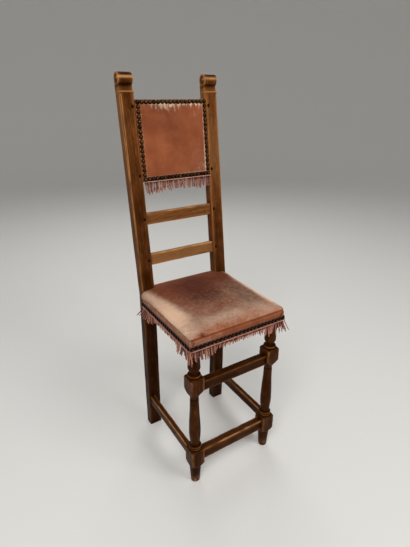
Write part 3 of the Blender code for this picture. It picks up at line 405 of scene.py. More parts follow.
def makeBar(name, bar, seed):
    low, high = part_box(name)
    centre = (low + high) / 2
    alongX = bar["along"] == "x"
    tenon = bar.get("tenon", chair["crossTenon"] if alongX else chair["sideTenon"])
    length = bar.get("length", (high.x - low.x if alongX else high.y - low.y) - 2 * tenon)
    half = length / 2 + woodBars["letIn"]
    thick, tall = bar["section"]
    rings = max(round(2 * half / woodBars["spacing"]), 4)
    rub = bar.get("rub", 0.0)
    points = []
    values = oakValues()
    middle = unraked(centre)
    for step in range(rings + 1):
        along = -half + 2 * half * step / rings
        away = 1 - abs(along) / half
        corners = []
        for corner in range(4):
            ragged = 0.5 + 0.5 * rough(along, corner, seed, 55.0, seed)
            upperShare = 1.0 if corner in (2, 3) else woodBars["lowerRub"]
            rubbed = rub * upperShare * ragged ** 2 * smooth(0.0, woodBars["endClear"], away)
            corners.append((woodBars["arris"] * (0.75 + 0.5 * ragged + rubbed), 0.0))
        for u, v, worn in sectionRing(thick / 2, tall / 2, corners):
            ripple = woodBars["wave"] * rough(along, u, v, 32.0, seed)
            u += ripple * (1 if u > 0 else -1)
            v += ripple * (1 if v > 0 else -1)
            if bar["along"] == "s":
                point = raked(middle[0] + v, middle[1] + u, middle[2] + along)
            elif bar.get("raked"):
                point = raked(along, middle[1] + u, middle[2] + v)
            elif alongX:
                point = centre + Vector((along, u, v))
            else:
                point = centre + Vector((-u, along, v))
            points.append(point)
            values["grain"].append((u + 0.31 * seed, v + 0.17 * seed, along + 1.3 * seed))
            values["wear"].append(min(worn * (0.75 + 0.3 * rub), 1.0))
            joint = woodBars["jointDirt"] * blob(away, 0.0, woodBars["jointWidth"])
            patchy = woodBars["patchy"] * rough(u, v, along, 24.0, seed)
            # painted shade low down, dirt at the joints, and patches
            soilAndShade = lowFrameShade(point.z) + joint + bar.get("soilAndShade", 0.0) + patchy
            values["dirtAndShade"].append(min(max(soilAndShade, 0.0), 1.0))
            # painted highlight along the upper arrises
            upper = smooth(0.55, 0.95, worn) * smooth(0.0, 0.1 * tall, v)
            upper *= 0.7 + 0.9 * rough(u, v, along, 60.0, seed)
            values["paintedLightAndScuff"].append(max(bar.get("bright", 0.0) + bar.get("edge", 0.0) * upper, 0.0))
    faces = tubeFaces(rings + 1, len(points) // (rings + 1))
    addPiece(name + "_oak", points, faces, oak, [name], values)


for index, (barName, bar) in enumerate(woodBars["bars"].items()):
    makeBar(barName, bar, index + 1.0)
print("oak bars made")


# back posts, each one timber from the floor to its rolled top
posts = {
    "rollSwell": 0.0015,
    "coveLength": 0.014,
    "coveDepth": 0.006,
    "arris": 0.0018,
    "chamfer": 0.0037,
    "chamferLow": 0.0016,  # it narrows to this towards the seat
    "chamferGrows": (0.26, 0.46),  # between these places up the post
    "chamferFlat": 0.9,
    "chamferFrom": 0.036,
    "chamferStop": 0.0025,
    "chamferRun": 0.007,  # length of the tongue at each end of a chamfer
    "wave": 0.00028,
    "spacing": 0.006,
    "underLip": (0.0092, 0.0072, 0.0054, 0.0040, 0.0028, 0.0016, 0.0007),
    "coveSteps": 8,
    "rollSteps": 22,
}
# where a post is darkened by painted shade and dirt, rubbed, and lit by painted highlights and light; places
# are up the post from the knee
postLook = {
    "hollow": 0.95,  # painted shade in the cove
    "crest": 0.86,  # painted dark reflection on top of the roll
    # painted shade under the roll's front
    "shadeBelowRoll": 0.30,
    # for the left and the right post: painted shade all over, more of it low down, and where that starts and
    # is full
    "shade": {-1: (0.26, 0.34, 0.48, 0.16), 1: (0.02, 0.74, 0.32, 0.03)},
    "patchy": 0.34,
    "speckle": 0.26,
    "litLeftSide": 0.6,  # painted light: share of the painted shade that the lit left-hand sides are spared
    "discDark": 0.80,  # the middle of the roll's left-hand end is darker
    # painted highlight round the rim of that end
    "discRim": 0.62,
    "wearAbove": 0.9,
    "wearBelow": 0.7,
    "lipWear": 0.6,
    "rimWear": 0.6,
    # painted light on the lit left-hand sides
    "sideBright": 0.22,
    "outerArris": 0.54,  # painted highlight lines, strongest on the outer arrises
    "innerArris": 0.12,
    "glow": 0.13,  # painted light: the right post's middle is lighter
    "glowAt": (0.37, 0.09),
    "faceBright": 0.80,  # painted highlight band across the front of the roll
    # painted highlight on the lip under the cove
    "lipBright": 0.44,
}
rollRadius = chair["postDepth"] / 2 + posts["rollSwell"]
rollT = chair["postDepth"] - rollRadius
rollS = (postHigh.z - rollRadius - chair["knee"] + rollT * sinRake) / cosRake
meetTurn = math.pi + math.acos((rollT - posts["coveDepth"]) / rollRadius)
coveTop = rollS + rollRadius * math.sin(meetTurn)
coveBottom = coveTop - posts["coveLength"]


def postSlices():  # pairs of front and back points at x = 0, from the foot to the top of the roll
    depth = chair["postDepth"]
    kneeS = depth * math.tan(chair["rake"] / 2)
    slices = []
    steps = round(chair["knee"] / posts["spacing"])
    for step in range(steps):
        share = step / steps
        frontY = chair["splay"] * (1 - share)
        front = Vector((0, postLineY + frontY, chair["knee"] * share))
        back = Vector((0, postLineY + frontY + depth, (chair["knee"] - kneeS) * share))
        slices.append((front, back))
    steps = round(coveBottom / posts["spacing"])
    levels = [coveBottom * step / steps for step in range(steps - 1)]
    levels += [coveBottom - below for below in posts["underLip"]]
    for s in levels:
        share = s / coveBottom
        slices.append((raked(0, 0, s), raked(0, depth, kneeS + (coveBottom - kneeS) * share)))
    for step in range(posts["coveSteps"]):
        turn = math.pi / 2 * step / posts["coveSteps"]
        s = coveTop - posts["coveLength"] * math.cos(turn)
        slices.append((raked(0, posts["coveDepth"] * math.sin(turn), s), raked(0, depth, s)))
    for step in range(posts["rollSteps"]):
        turn = meetTurn + (math.pi / 2 - meetTurn) * step / posts["rollSteps"]
        s = rollS + rollRadius * math.sin(turn)
        reach = abs(rollRadius * math.cos(turn))
        backT = rollT + reach if s > rollS else depth
        slices.append((raked(0, rollT + rollRadius * math.cos(turn), s), raked(0, backT, s)))
    return slices


def makePost(label, side, seed):
    name = f"back_post_{label}"
    low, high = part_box(name)
    middleX = (low.x + high.x) / 2
    halfWidth = (high.x - low.x) / 2
    slices = postSlices()
    top = rollS + rollRadius
    points = []
    values = oakValues()
    run = 0.0
    lastMiddle = None
    evenShade, lowShade, shadeFrom, shadeTo = postLook["shade"][side]
    for front, back in slices:
        middle = (front + back) / 2
        if lastMiddle is not None:
            run += (middle - lastMiddle).length
        lastMiddle = middle
        across = back - front
        halfDepth = across.length / 2
        direction = across.normalized()
        s = unraked(middle)[2]
        start = smooth(posts["chamferFrom"], posts["chamferFrom"] + posts["chamferRun"], s)
        stopAt = coveBottom - posts["chamferStop"]
        stop = smooth(stopAt, stopAt - posts["chamferRun"], s)
        cutShare = start * stop
        growth = (posts["chamfer"] - posts["chamferLow"]) * smooth(*posts["chamferGrows"], s)
        chamfer = posts["chamferLow"] + growth
        short = max(posts["arris"] - (top - s), 0.0)  # the roll's rim is rounded off at the very top
        width = halfWidth - (posts["arris"] - math.sqrt(max(posts["arris"] ** 2 - short ** 2, 0.0)))
        corners = []
        for corner in range(4):
            ragged = 0.5 + 0.5 * rough(run, corner * 3.1, seed, 45.0, seed)
            radius = posts["arris"] * (0.7 + 0.6 * ragged)
            if corner in (0, 1):
                radius += (chamfer - radius) * cutShare
                corners.append((radius, posts["chamferFlat"] * cutShare))
            else:
                corners.append((radius, 0.0))
        for u, v, worn in sectionRing(width, halfDepth, corners):
            ripple = posts["wave"] * rough(run, u, v, 26.0, seed)
            u += ripple * (1 if u > 0 else -1)
            point = middle + direction * (v + ripple * (1 if v > 0 else -1)) + Vector((middleX + u, 0, 0))
            points.append(point)
            values["grain"].append((u + 0.37 * seed, v + 0.21 * seed, run + 1.7 * seed))
            pointT, pointS = unraked(point)[1:]
            fromRoll = math.hypot(pointT - rollT, pointS - rollS) / rollRadius
            inFront = 1.0 if v < 0 else 0.0
            outer = smooth(0.93, 0.99, -u / halfWidth)  # the post's left-hand side
            disc = smooth(coveTop, coveTop + 0.003, pointS) * outer
            lip = blob(pointS, coveBottom - 0.0006, 0.0013) * inFront
            # dirt and painted shade
            hollow = postLook["hollow"] * smooth(coveBottom + 0.005, coveTop, pointS)
            hollow *= smooth(coveTop + 0.007, coveTop - 0.001, pointS)
            # painted dark reflection on top of the roll
            crest = postLook["crest"] * smooth(rollS + 0.36 * rollRadius, rollS + 0.60 * rollRadius, pointS)
            # painted shade under the roll's front and over each post, with random patches
            shadeBelowRoll = blob(pointS, rollS - 0.40 * rollRadius, 0.28 * rollRadius)
            shadeAndPatches = postLook["shadeBelowRoll"] * shadeBelowRoll * inFront
            shadeAndPatches += evenShade + lowShade * smooth(shadeFrom, shadeTo, pointS)
            shadeAndPatches += postLook["patchy"] * rough(u, v, run, 18.0, seed)
            shadeAndPatches += postLook["speckle"] * rough(u, v, run, 46.0, seed)
            soilAndShade = lowFrameShade(point.z) + inFront * hollow + crest * (1 - outer)
            # the lit left-hand sides are spared part of the painted shade
            soilAndShade += max(shadeAndPatches, 0.0) * (1 - postLook["litLeftSide"] * outer)
            soilAndShade += postLook["discDark"] * disc * smooth(0.86, 0.60, fromRoll)
            values["dirtAndShade"].append(min(soilAndShade, 1.0))
            # rubbed edges
            rim = smooth(0.86, 1.0, abs(u) / halfWidth) * smooth(coveTop, coveTop + 0.004, pointS)
            rubbed = worn * (postLook["wearAbove"] if s > 0 else postLook["wearBelow"])
            rubbed += postLook["lipWear"] * lip
            rubbed += postLook["rimWear"] * rim
            values["wear"].append(min(rubbed, 1.3))
            # painted highlights and painted light
            face = blob(pointS, rollS + 0.16 * rollRadius, 0.17 * rollRadius) * inFront
            bright = disc * postLook["discRim"] * smooth(0.66, 0.95, fromRoll)
            alongSide = smooth(0.16, coveBottom, pointS)
            bright += postLook["sideBright"] * outer * alongSide * smooth(coveTop, coveBottom, pointS)
            # painted highlight lines along the chamfered arrises
            fine = smooth(0.55, 0.95, worn) * inFront * cutShare * (0.8 + 0.8 * rough(u, v, run, 40.0, seed))
            arris = postLook["outerArris"] if u * side > 0 else postLook["innerArris"]
            fine *= arris * smooth(0.04, 0.16, pointS)
            glow = postLook["glow"] * blob(pointS, *postLook["glowAt"]) * inFront if side > 0 else 0.0
            shine = postLook["faceBright"] * face + bright + fine + postLook["lipBright"] * lip + glow
            values["paintedLightAndScuff"].append(min(max(shine, 0.0), 1.0))
    faces = tubeFaces(len(slices), len(points) // len(slices))
    return addPiece(name + "_oak", points, faces, oak, [name], values)


postPieces = {side: makePost(label, side, 20.0 + side) for label, side in sides}

pegs = {
    "radius": 0.0030,
    "ease": 0.0004,  # the hole is this much wider all round
    "length": 0.020,
    "recess": 0.0011,
    "bottomGap": 0.0005,
    "lead": 0.004,  # the drill starts this far off the face
    "around": 18,
    "uneven": 0.05,
    "lean": 0.0003,
    "names": ("slat_lower", "slat_upper", "panel_bottom", "panel_top"),
    "middle": 0.25,  # share of the radius at the rough end's middle
    "crown": ((-0.0002, 0.72), (0.0004, 0.98), (0.002, 1.0)),  # behind the recess, share of the radius
    "taper": (0.001, 0.7),  # at the hidden end
    "plug": (-0.1055, 0.329),  # a dark plugged hole low on the left post, x and z
    "plugRadius": 0.0026,
    "plugDepth": 0.006,
    "plugCrown": ((0.0010, 0.3), (0.0008, 0.8), (0.0014, 0.97), (0.006, 0.97)),
    "holeWear": 0.15,
    # painted shade on the walls of the drilled holes
    "holeShade": 0.9,
    # dark end grain, made darker still as painted shade in its recess
    "dark": rgb(10, 5, 3),
    "light": rgb(34, 17, 9),
}


def makePegOak():
    finish, tree, inputs = newFinish("dark peg end grain", **{"Roughness": 0.8, "Specular IOR Level": 0.08})
    speck = noiseOf(tree, placeOf(tree), 900.0, 3.0)
    colour = mixOf(tree, rangeOf(tree, speck, 0.35, 0.7), pegs["dark"], pegs["light"])
    tree.links.new(colour, inputs["Base Color"])
    tree.links.new(bumpOf(tree, speck, 0.5, 0.0005), inputs["Normal"])
    return finish


pegOak = makePegOak()


def rodPoints(origin, ahead, across, up, stations, seed):
    points = []
    for reach, radius in stations:
        for step in range(pegs["around"]):
            angle = 2 * math.pi * step / pegs["around"]
            uneven = 1 + pegs["uneven"] * rough(math.cos(angle), math.sin(angle), 0, 1.4, seed)
            ring = across * (math.cos(angle) * radius * uneven) + up * (math.sin(angle) * radius * uneven)
            points.append(origin + ahead * reach + ring)
    return points


def drillPost(piece, cutters):
    points = []
    faces = []
    for origin, ahead, up, radius, depth in cutters:
        first = len(points)
        stations = ((-pegs["lead"], radius), (depth, radius))
        points += rodPoints(origin, ahead, axisX, up, stations, radius)
        faces += [tuple(first + corner for corner in face) for face in tubeFaces(2, pegs["around"])]
    mesh = bpy.data.meshes.new("drill")
    mesh.from_pydata([tuple(point) for point in points], [], faces)
    faceOutward(mesh)
    drill = bpy.data.objects.new("drill", mesh)
    bpy.context.scene.collection.objects.link(drill)
    boolean = piece.modifiers.new("holes", "BOOLEAN")
    boolean.operation = "DIFFERENCE"
    boolean.solver = "EXACT"
    boolean.object = drill
    before = piece.data
    tree = kdtree.KDTree(len(before.vertices))
    for vert in before.vertices:
        tree.insert(vert.co, vert.index)
    tree.balance()
    drilled = bpy.data.meshes.new_from_object(piece.evaluated_get(bpy.context.evaluated_depsgraph_get()))
    piece.modifiers.clear()
    piece.data = drilled
    bpy.data.objects.remove(drill)
    oldGrain = before.attributes["grain"].data
    new = {key: drilled.attributes[key].data for key in oakValues()}
    for vert in drilled.vertices:  # points that the drill made take their grain from the nearest old point
        spot, index, away = tree.find(vert.co)
        if away < nearly:
            continue
        new["grain"][vert.index].vector = oldGrain[index].vector + (vert.co - spot)
        # the drilled walls take little wear, painted shade and no highlight
        new["wear"][vert.index].value = pegs["holeWear"]
        new["dirtAndShade"][vert.index].value = pegs["holeShade"]
        new["paintedLightAndScuff"][vert.index].value = 0.0
    drilled.set_sharp_from_angle(angle=sharpFrom)


def makePegs():
    radius = pegs["radius"]
    back = pegs["recess"] + pegs["length"]
    taperFrom, taperTo = pegs["taper"]
    for label, side in sides:
        cutters = []
        for index, stem in enumerate(pegs["names"]):
            name = f"peg_{stem}_{label}"
            low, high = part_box(name)
            x, t, s = unraked((low + high) / 2)
            mouth = raked(x, 0, s)
            cutters.append((mouth, intoPost, upPost, radius + pegs["ease"], back + pegs["bottomGap"]))
            lean = pegs["lean"] * (1 + rough(index, side, 0, 3.3))
            stations = [(pegs["recess"] + lean, radius * pegs["middle"])]
            stations += [(pegs["recess"] + behind, radius * share) for behind, share in pegs["crown"]]
            stations += [(back - taperFrom, radius), (back, radius * taperTo)]
            points = rodPoints(mouth, intoPost, axisX, upPost, stations, index + 5.0 * side)
            faces = tubeFaces(len(stations), pegs["around"])
            addPiece(name + "_oak", points, faces, pegOak, [name])
        if side < 0:
            plugX, plugZ = pegs["plug"]
            mouth = Vector((plugX, postLineY + chair["splay"] * (1 - plugZ / chair["knee"]), plugZ))
            cutters.append((mouth, axisY, axisZ, pegs["plugRadius"], pegs["plugDepth"]))
            stations = [(behind, pegs["plugRadius"] * share) for behind, share in pegs["plugCrown"]]
            points = rodPoints(mouth, axisY, axisX, axisZ, stations, 3.0)
            addPiece("post_plug_oak", points, tubeFaces(len(stations), pegs["around"]), pegOak)
        drillPost(postPieces[side], cutters)


makePegs()
print("posts and pegs made")


# turned front legs: the turning runs out into square blocks
legs = {
    "arris": 0.0016,
    "soft": 0.0007,  # how softly the turning runs into a block
    "spacing": 0.003,
    "wave": 0.00018,
    "cornerTurns": (0, 1.3, 2.8, 4.6, 7, 10.5, 15, 20, 26, 32, 38.5),
    "railTop": 0.447,
    "topBlockBottom": 0.408,
    "upperTop": 0.337,
    "upperBottom": 0.305,
    "lowerTop": 0.110,
    "lowerBottom": 0.068,
    "shoulder": 0.005,
    "longShoulder": 0.029,
    "footShoulder": 0.010,
    "neck": 0.0154,
    "neckTop": 0.0140,
    "neckBelly": 0.013,  # its widest part above the groove
    "collar": 0.0165,
    "collarHeight": 0.008,
    "groove": 0.0105,
    "grooveWidth": 0.003,
    "shaftTop": 0.0112,
    "belly": 0.0150,
    "bellyRise": 0.042,
    "shaftFoot": 0.0122,
    "ring": 0.0165,
    "ringHeight": 0.0065,
    "bulge": 0.003,
    "footTop": 0.0158,
    "foot": 0.0115,
    "footFlare": 0.0004,
    "footRound": 0.0012,
    "footRoundHeight": 0.0016,
    "grooveFloor": 0.0004,
    "clear": 0.0275,  # outside the stock's corners
}
legLook = {
    "cornerWear": 0.9,
    "rimWear": 0.5,  # where a block's face runs out into the turning
    "ridgeWear": 0.9,  # on the beads
    "ridgeLit": 0.45,  # painted light: share of the low painted shade and dirt that the beads' crests are spared
    # painted shade in the grooves
    "grooveShade": 0.95,
    "patchy": 0.20,
    "scuffs": (0.16, 0.5),  # on the foot, even and in patches
    "scuffFrom": 0.034,
    "scuffFull": 0.006,
    # painted highlight on the blocks' corners
    "cornerBright": 0.22,
}


def sweepLine(top, bottom, topRadius, bottomRadius, steps):
    line = []
    for step in range(steps + 1):
        share = (1 - math.cos(math.pi * step / steps)) / 2
        line.append((topRadius + (bottomRadius - topRadius) * share, top + (bottom - top) * step / steps))
    return line


def beadLine(top, height, radius, steps=8):
    line = []
    for step in range(steps + 1):
        bulge = legs["bulge"] * (math.sin(math.pi * step / steps) ** 0.7 - 1)
        line.append((radius + bulge, top - height * step / steps))
    return line


def legLine():  # radius and height down the leg
    clear = legs["clear"]
    collarTop = legs["upperTop"] + legs["shoulder"] + legs["collarHeight"]
    neckTop = legs["topBlockBottom"] - legs["shoulder"]
    neckBottom = collarTop + legs["grooveWidth"]
    neckBelly = neckBottom + legs["neckBelly"]
    shaftTop = legs["upperBottom"] - legs["longShoulder"] - legs["grooveWidth"]
    ringsTop = legs["lowerTop"] + legs["shoulder"] + 2 * legs["ringHeight"]
    belly = ringsTop + legs["bellyRise"]
    footTop = legs["lowerBottom"] - legs["footShoulder"]
    line = [(clear, legs["railTop"]), (clear, legs["topBlockBottom"])]
    line += sweepLine(neckTop, neckBelly, legs["neckTop"], legs["neck"], 8)
    line += sweepLine(neckBelly, neckBottom, legs["neck"], legs["groove"], 8)[1:]
    line.append((legs["groove"], collarTop + legs["grooveFloor"]))
    line += beadLine(collarTop, legs["collarHeight"], legs["collar"])
    line += [(legs["collar"] - legs["bulge"], legs["upperTop"] + legs["shoulder"])]
    line += [(clear, legs["upperTop"]), (clear, legs["upperBottom"])]
    for step in range(1, 7):  # a hollow sweep under the upper block
        share = step / 6
        radius = clear + (legs["groove"] - clear) * math.sin(math.pi / 2 * share) ** 0.9
        line.append((radius, legs["upperBottom"] - legs["longShoulder"] * share))
    line += sweepLine(shaftTop, belly, legs["shaftTop"], legs["belly"], 14)
    line += sweepLine(belly, ringsTop, legs["belly"], legs["shaftFoot"], 8)[1:]
    line += beadLine(ringsTop, legs["ringHeight"], legs["ring"])
    line += beadLine(ringsTop - legs["ringHeight"], legs["ringHeight"], legs["ring"])[1:]
    line += [(clear, legs["lowerTop"]), (clear, legs["lowerBottom"])]
    line += [((clear + legs["footTop"]) / 2, legs["lowerBottom"] - legs["footShoulder"] / 2)]
    line += [(legs["footTop"], footTop), (legs["foot"] + legs["footFlare"], legs["footRoundHeight"])]
    line += [(legs["foot"] - legs["footRound"], 0.0)]
    return line


def finerLine(line, spacing):
    fine = [line[0]]
    for (radius, z), (nextRadius, nextZ) in zip(line, line[1:]):
        cuts = max(math.ceil(math.hypot(nextRadius - radius, nextZ - z) / spacing), 1)
        for cut in range(1, cuts + 1):
            share = cut / cuts
            fine.append((radius + (nextRadius - radius) * share, z + (nextZ - z) * share))
    return fine


def squareReach(turn, half, corner):  # from the leg's middle to the face of its square stock
    u = abs(math.cos(turn))
    v = abs(math.sin(turn))
    reach = half / max(u, v)
    inner = half - corner
    if reach * min(u, v) > inner:
        along = inner * (u + v)
        reach = along + math.sqrt(max(along ** 2 - 2 * inner ** 2 + corner ** 2, 0.0))
    return reach


def makeLeg(label, seed):
    name = f"front_leg_{label}"
    low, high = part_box(name)
    centre = (low + high) / 2
    half = (high.x - low.x) / 2
    turns = []
    for quarter in range(4):
        corner = 45 + 90 * quarter
        offsets = [-offset for offset in reversed(legs["cornerTurns"][1:])] + list(legs["cornerTurns"]) + [45]
        turns += [math.radians(corner + offset) for offset in offsets]
    line = finerLine(legLine(), legs["spacing"])
    collarFoot = legs["upperTop"] + legs["shoulder"]
    ringsFoot = legs["lowerTop"] + legs["shoulder"]
    shaftHead = legs["upperBottom"] - legs["longShoulder"]
    grooves = (collarFoot, collarFoot + legs["collarHeight"] + 0.001, shaftHead - 0.001, ringsFoot,
               ringsFoot + legs["ringHeight"], ringsFoot + 2 * legs["ringHeight"] + 0.001)
    crests = (collarFoot + 0.5 * legs["collarHeight"], ringsFoot + 0.5 * legs["ringHeight"],
              ringsFoot + 1.5 * legs["ringHeight"])
    scuffEven, scuffPatchy = legLook["scuffs"]
    points = []
    values = oakValues()
    for radius, z in line:
        ragged = legs["arris"] * (1.0 + 0.5 * rough(0, 0, z, 60.0, seed))
        for turn in turns:
            cosTurn = math.cos(turn)
            sinTurn = math.sin(turn)
            square = squareReach(turn, half, ragged)
            apart = radius - square
            reach = (radius + square - math.sqrt(apart ** 2 + legs["soft"] ** 2)) / 2
            reach += legs["wave"] * rough(cosTurn, sinTurn, z * 30, 1.3, seed)
            points.append((centre.x + reach * cosTurn, centre.y + reach * sinTurn, z))
            grain = (reach * cosTurn + 0.4 * seed, reach * sinTurn + 0.2 * seed, z + 1.9 * seed)
            values["grain"].append(grain)
            onCorner = smooth(half * 1.16, half * 1.36, reach)
            rim = blob(apart, 0.0, 0.0012) * smooth(half * 0.99, half * 1.02, reach)
            ridge = max(blob(z, crest, 0.0013) for crest in crests)
            groove = max(blob(z, spot, 0.0014) for spot in grooves) * smooth(0.0225, 0.0190, radius)
            rubbed = legLook["cornerWear"] * onCorner + legLook["rimWear"] * rim
            rubbed += legLook["ridgeWear"] * ridge
            values["wear"].append(min(rubbed, 1.0))
            # painted shade low down, less on the beads' crests, and in the grooves
            soilAndShade = lowFrameShade(z) * (1 - legLook["ridgeLit"] * ridge) + legLook["grooveShade"] * groove
            soilAndShade += legLook["patchy"] * rough(cosTurn, sinTurn, z * 40, 1.1, seed)
            values["dirtAndShade"].append(min(max(soilAndShade, 0.0), 1.0))
            scuff = smooth(legLook["scuffFrom"], legLook["scuffFull"], z)
            scuff *= scuffEven + scuffPatchy * rough(cosTurn, sinTurn, z * 60, 1.6, seed)
            # painted highlight on the corners, with the scuffs
            shine = scuff + legLook["cornerBright"] * onCorner * (0.3 + rough(0, 0, z, 70.0, seed + turn))
            values["paintedLightAndScuff"].append(max(shine, 0.0))
    addPiece(name + "_oak", points, tubeFaces(len(line), len(turns)), oak, [name], values)


for label, side in sides:
    makeLeg(label, 30.0 + side)
print("legs made")

# velvet upholstery: seat and back panel in the same cloth, rubbed pale where sitters rubbed it, with painted
# highlights on its rolls and edges, and painted shade in its creases and where the pile looks dark
velvetLook = {
    "rose": rgb(125, 63, 34),
    "light": rgb(152, 86, 52),
    "deep": rgb(128, 103, 86),  # painted shade: multiplies the cloth where the pile looks dark from this side, and in creases and folds
    "pale": rgb(174, 143, 121),
    "bald": rgb(220, 181, 152),
    "sheen": rgb(236, 190, 164),
    "stain": rgb(80, 27, 11),
}


def makeVelvet():
    sockets = {"Roughness": 0.86, "Specular IOR Level": 0.18, "Sheen Weight": 0.10, "Sheen Roughness": 0.42}
    sockets["Sheen Tint"] = velvetLook["sheen"]
    finish, tree, inputs = newFinish("worn velvet", **sockets)
    place = placeOf(tree)
    cloudy = noiseOf(tree, place, 22.0, 5.0, 0.6)
    mottle = noiseOf(tree, place, 95.0, 5.0, 0.66, 0.4)
    crushed = noiseOf(tree, place, 300.0, 3.0, 0.6, 0.3)
    pile = noiseOf(tree, place, 2300.0, 2.0, 0.6)
    cloth = mixOf(tree, rangeOf(tree, cloudy, 0.22, 0.80), velvetLook["rose"], velvetLook["light"])
    stir = plusOf(tree, swayOf(tree, mottle, 1.25), swayOf(tree, crushed, 0.8))
    # pale: worn pile, and painted highlights along the rolls and edges
    worn = plusOf(tree, readOf(tree, "pale"), timesOf(tree, stir, 0.5))
    cloth = mixOf(tree, rangeOf(tree, worn, 0.10, 0.74, 0.0, 0.96), cloth, velvetLook["pale"])
    cloth = mixOf(tree, rangeOf(tree, worn, 0.62, 1.10, 0.0, 0.9), cloth, velvetLook["bald"])
    # deep: painted shade where the pile looks dark and in creases
    deep = timesOf(tree, readOf(tree, "deep"), rangeOf(tree, mottle, 0.25, 0.7, 1.1, 0.8), clamp=True)
    cloth = mixOf(tree, deep, cloth, mixOf(tree, 1.0, cloth, velvetLook["deep"], "MULTIPLY"))
    # stain: real stains, and painted shadow in the front corners' pleats
    cloth = mixOf(tree, readOf(tree, "stain"), cloth, velvetLook["stain"])
    cloth = dimOf(tree, cloth, rangeOf(tree, pile, 0.3, 0.7, 0.74, 1.14))
    tree.links.new(cloth, inputs["Base Color"])
    pileBump = bumpOf(tree, pile, 0.35, 0.0005)
    tree.links.new(bumpOf(tree, crushed, 0.22, 0.0012, pileBump), inputs["Normal"])
    return finish


velvet = makeVelvet()


def sheetArea(piece):
    return sum(face.area for face in piece.data.polygons)


def thicken(piece, thickness, offset=-1.0):
    solid = piece.modifiers.new("cloth", "SOLIDIFY")
    solid.thickness = thickness
    solid.offset = offset
    solid.use_even_offset = True


def lineSteps(start, stop, spacing):
    cells = max(round((stop - start) / spacing), 1)
    return [start + (stop - start) * step / cells for step in range(cells + 1)]


def joinRings(faces, above, below):  # a strip of faces between two closed rings of points
    for place in range(len(above)):
        after = (place + 1) % len(above)
        faces.append((above[after], above[place], below[place], below[after]))


def closePad(points, faces, border, floor):  # a top with a floor under it, and walls between
    count = len(points)
    points += floor
    faces += [tuple(count + corner for corner in reversed(face)) for face in faces]
    joinRings(faces, border, [count + index for index in border])


seatLow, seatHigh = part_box("seat_cover")
seat = {
    "side": seatHigh.x,
    "front": seatLow.y,
    "rear": seatHigh.y,
    "notchX": postInner - chair["padClear"],
    "notchY": postLineY - chair["padClear"],
    "spacing": 0.003,
    "thickness": 0.0014,
    "drop": 0.034,  # cloth down each side, in the cut size
    "border": 0.4588,  # where the rolled edge turns straight down
    "rollHeight": 0.0042,
    "rollWidth": 0.0100,
    "crown": 0.0115,
    "crownPower": 2.3,  # how square the crown is
    "backFall": 0.42,  # share of the crown that is lost towards the rear
    "backFull": 4.0,  # how much squarer the crown gets towards the rear
    "lump": 0.0011,  # uneven stuffing
    "skirtEnd": 0.429,
    "notchEnd": 0.4526,  # at the posts the cover ends above the rails
    # height and bulge of the skirt's rows: a roll, a crease under it, then the boxing down to the nails
    "skirt": ((0.4580, 0.0008), (0.4572, 0.0009), (0.4565, 0.0006), (0.4559, 0.0000), (0.4554, -0.0005),
              (0.4548, -0.0003), (0.4538, 0.0003), (0.4520, 0.0010), (0.4495, 0.0014), (0.4467, 0.0014),
              (0.4440, 0.0010), (0.4415, 0.0004), (0.4392, 0.0000), (0.4366, 0.0000), (0.4340, 0.0000),
              (0.4315, 0.0000), (0.4290, 0.0000)),
    "crease": 0.4554,
    "overhang": 0.0058,  # the stuffing bulges over the left side at the back corner
    "drawnIn": 0.25,  # on the right the edge is drawn in by this share of it
    "overhangRun": 0.045,
    "backLift": 0.0030,  # the rolled edge stands higher there
    "creaseSag": 0.0035,  # and the crease under it lower
    "cornerTop": (0.0055, 0.0060, 0.0040),  # rounding of the front, side and rear corners in plan
    "cornerLow": (0.0026, 0.0012, 0.0020),
    "cornerLowAt": 0.4440,  # height from which the lower rounding holds
    "nailPitch": 0.011,
    "pucker": 0.00030,
    "puckerAt": (0.4420, 0.0038),  # height and spread of the pull of the nails
    "foldFront": 0.0035,  # a front corner's pleat, in from the corner on the front and on the side
    "foldSide": 0.0022,
    "foldSlope": 0.26,
    "foldHeight": 0.0011,
    "foldCrease": 0.0007,
}
# where the seat's cloth has changed, and where painted light and shade lie on it; ovals as strength, centre
# and half widths, in shares from left to right and from front to back, or in metres for the stain and the
# browned cloth round it
seatWorn = {
    "rubbed": (0.14, 0.42, 0.14, 0.24, 0.07),
    "core": (0.96, 0.50, 0.82, 0.44, 0.28),  # painted shade: the middle, where the pile looks dark
    "tail": (0.85, 0.47, 0.46, 0.27, 0.20),  # and its reach towards the front
    "stain": (0.95, -0.1050, -0.1680, 0.0070, 0.0056),
    "browned": (0.62, -0.116, -0.172, 0.020, 0.009),
    "edgeLine": (0.0075, 0.0040),  # painted highlight in from the right and rear edges
    "rollLine": (0.4572, 0.0016),  # heights on the skirt: painted highlight on the roll
    "nailLine": 0.4408,  # painted highlight above the nails
    # painted shade low on the skirt
    "lowShade": (0.4530, 0.4400),
    "rollEnds": (0.4545, 0.4588),  # the sides take the top's paleness above this
    "boxingFrom": (0.4552, 0.4510),
    "stainEnds": (0.4548, 0.4572),
    "stainWidth": 0.0052,
}


def roundedPlan(x, y, radii):  # a square corner drawn in to an arc; also gives the distance to the edge
    side = 1 if x > 0 else -1
    spots = (
        (seat["side"], seat["front"], -1, radii[0]),
        (seat["side"], seat["notchY"], 1, radii[1]),
        (seat["notchX"], seat["rear"], 1, radii[2]),
    )
    for cornerX, cornerY, way, radius in spots:
        a = abs(x) - (cornerX - radius)
        b = (y - cornerY) * way + radius
        if 0 < a <= radius + nearly and 0 < b <= radius + nearly:
            reach = max(a, b)
            scale = reach / math.hypot(a, b)
            return side * (cornerX - radius + a * scale), cornerY + way * (b * scale - radius), radius - reach
    return x, y, seatEdge(x, y)


def seatEdge(x, y):
    if y > seat["notchY"]:  # the pad stays full against the posts
        return seat["rear"] - y
    return min(seat["side"] - abs(x), y - seat["front"])


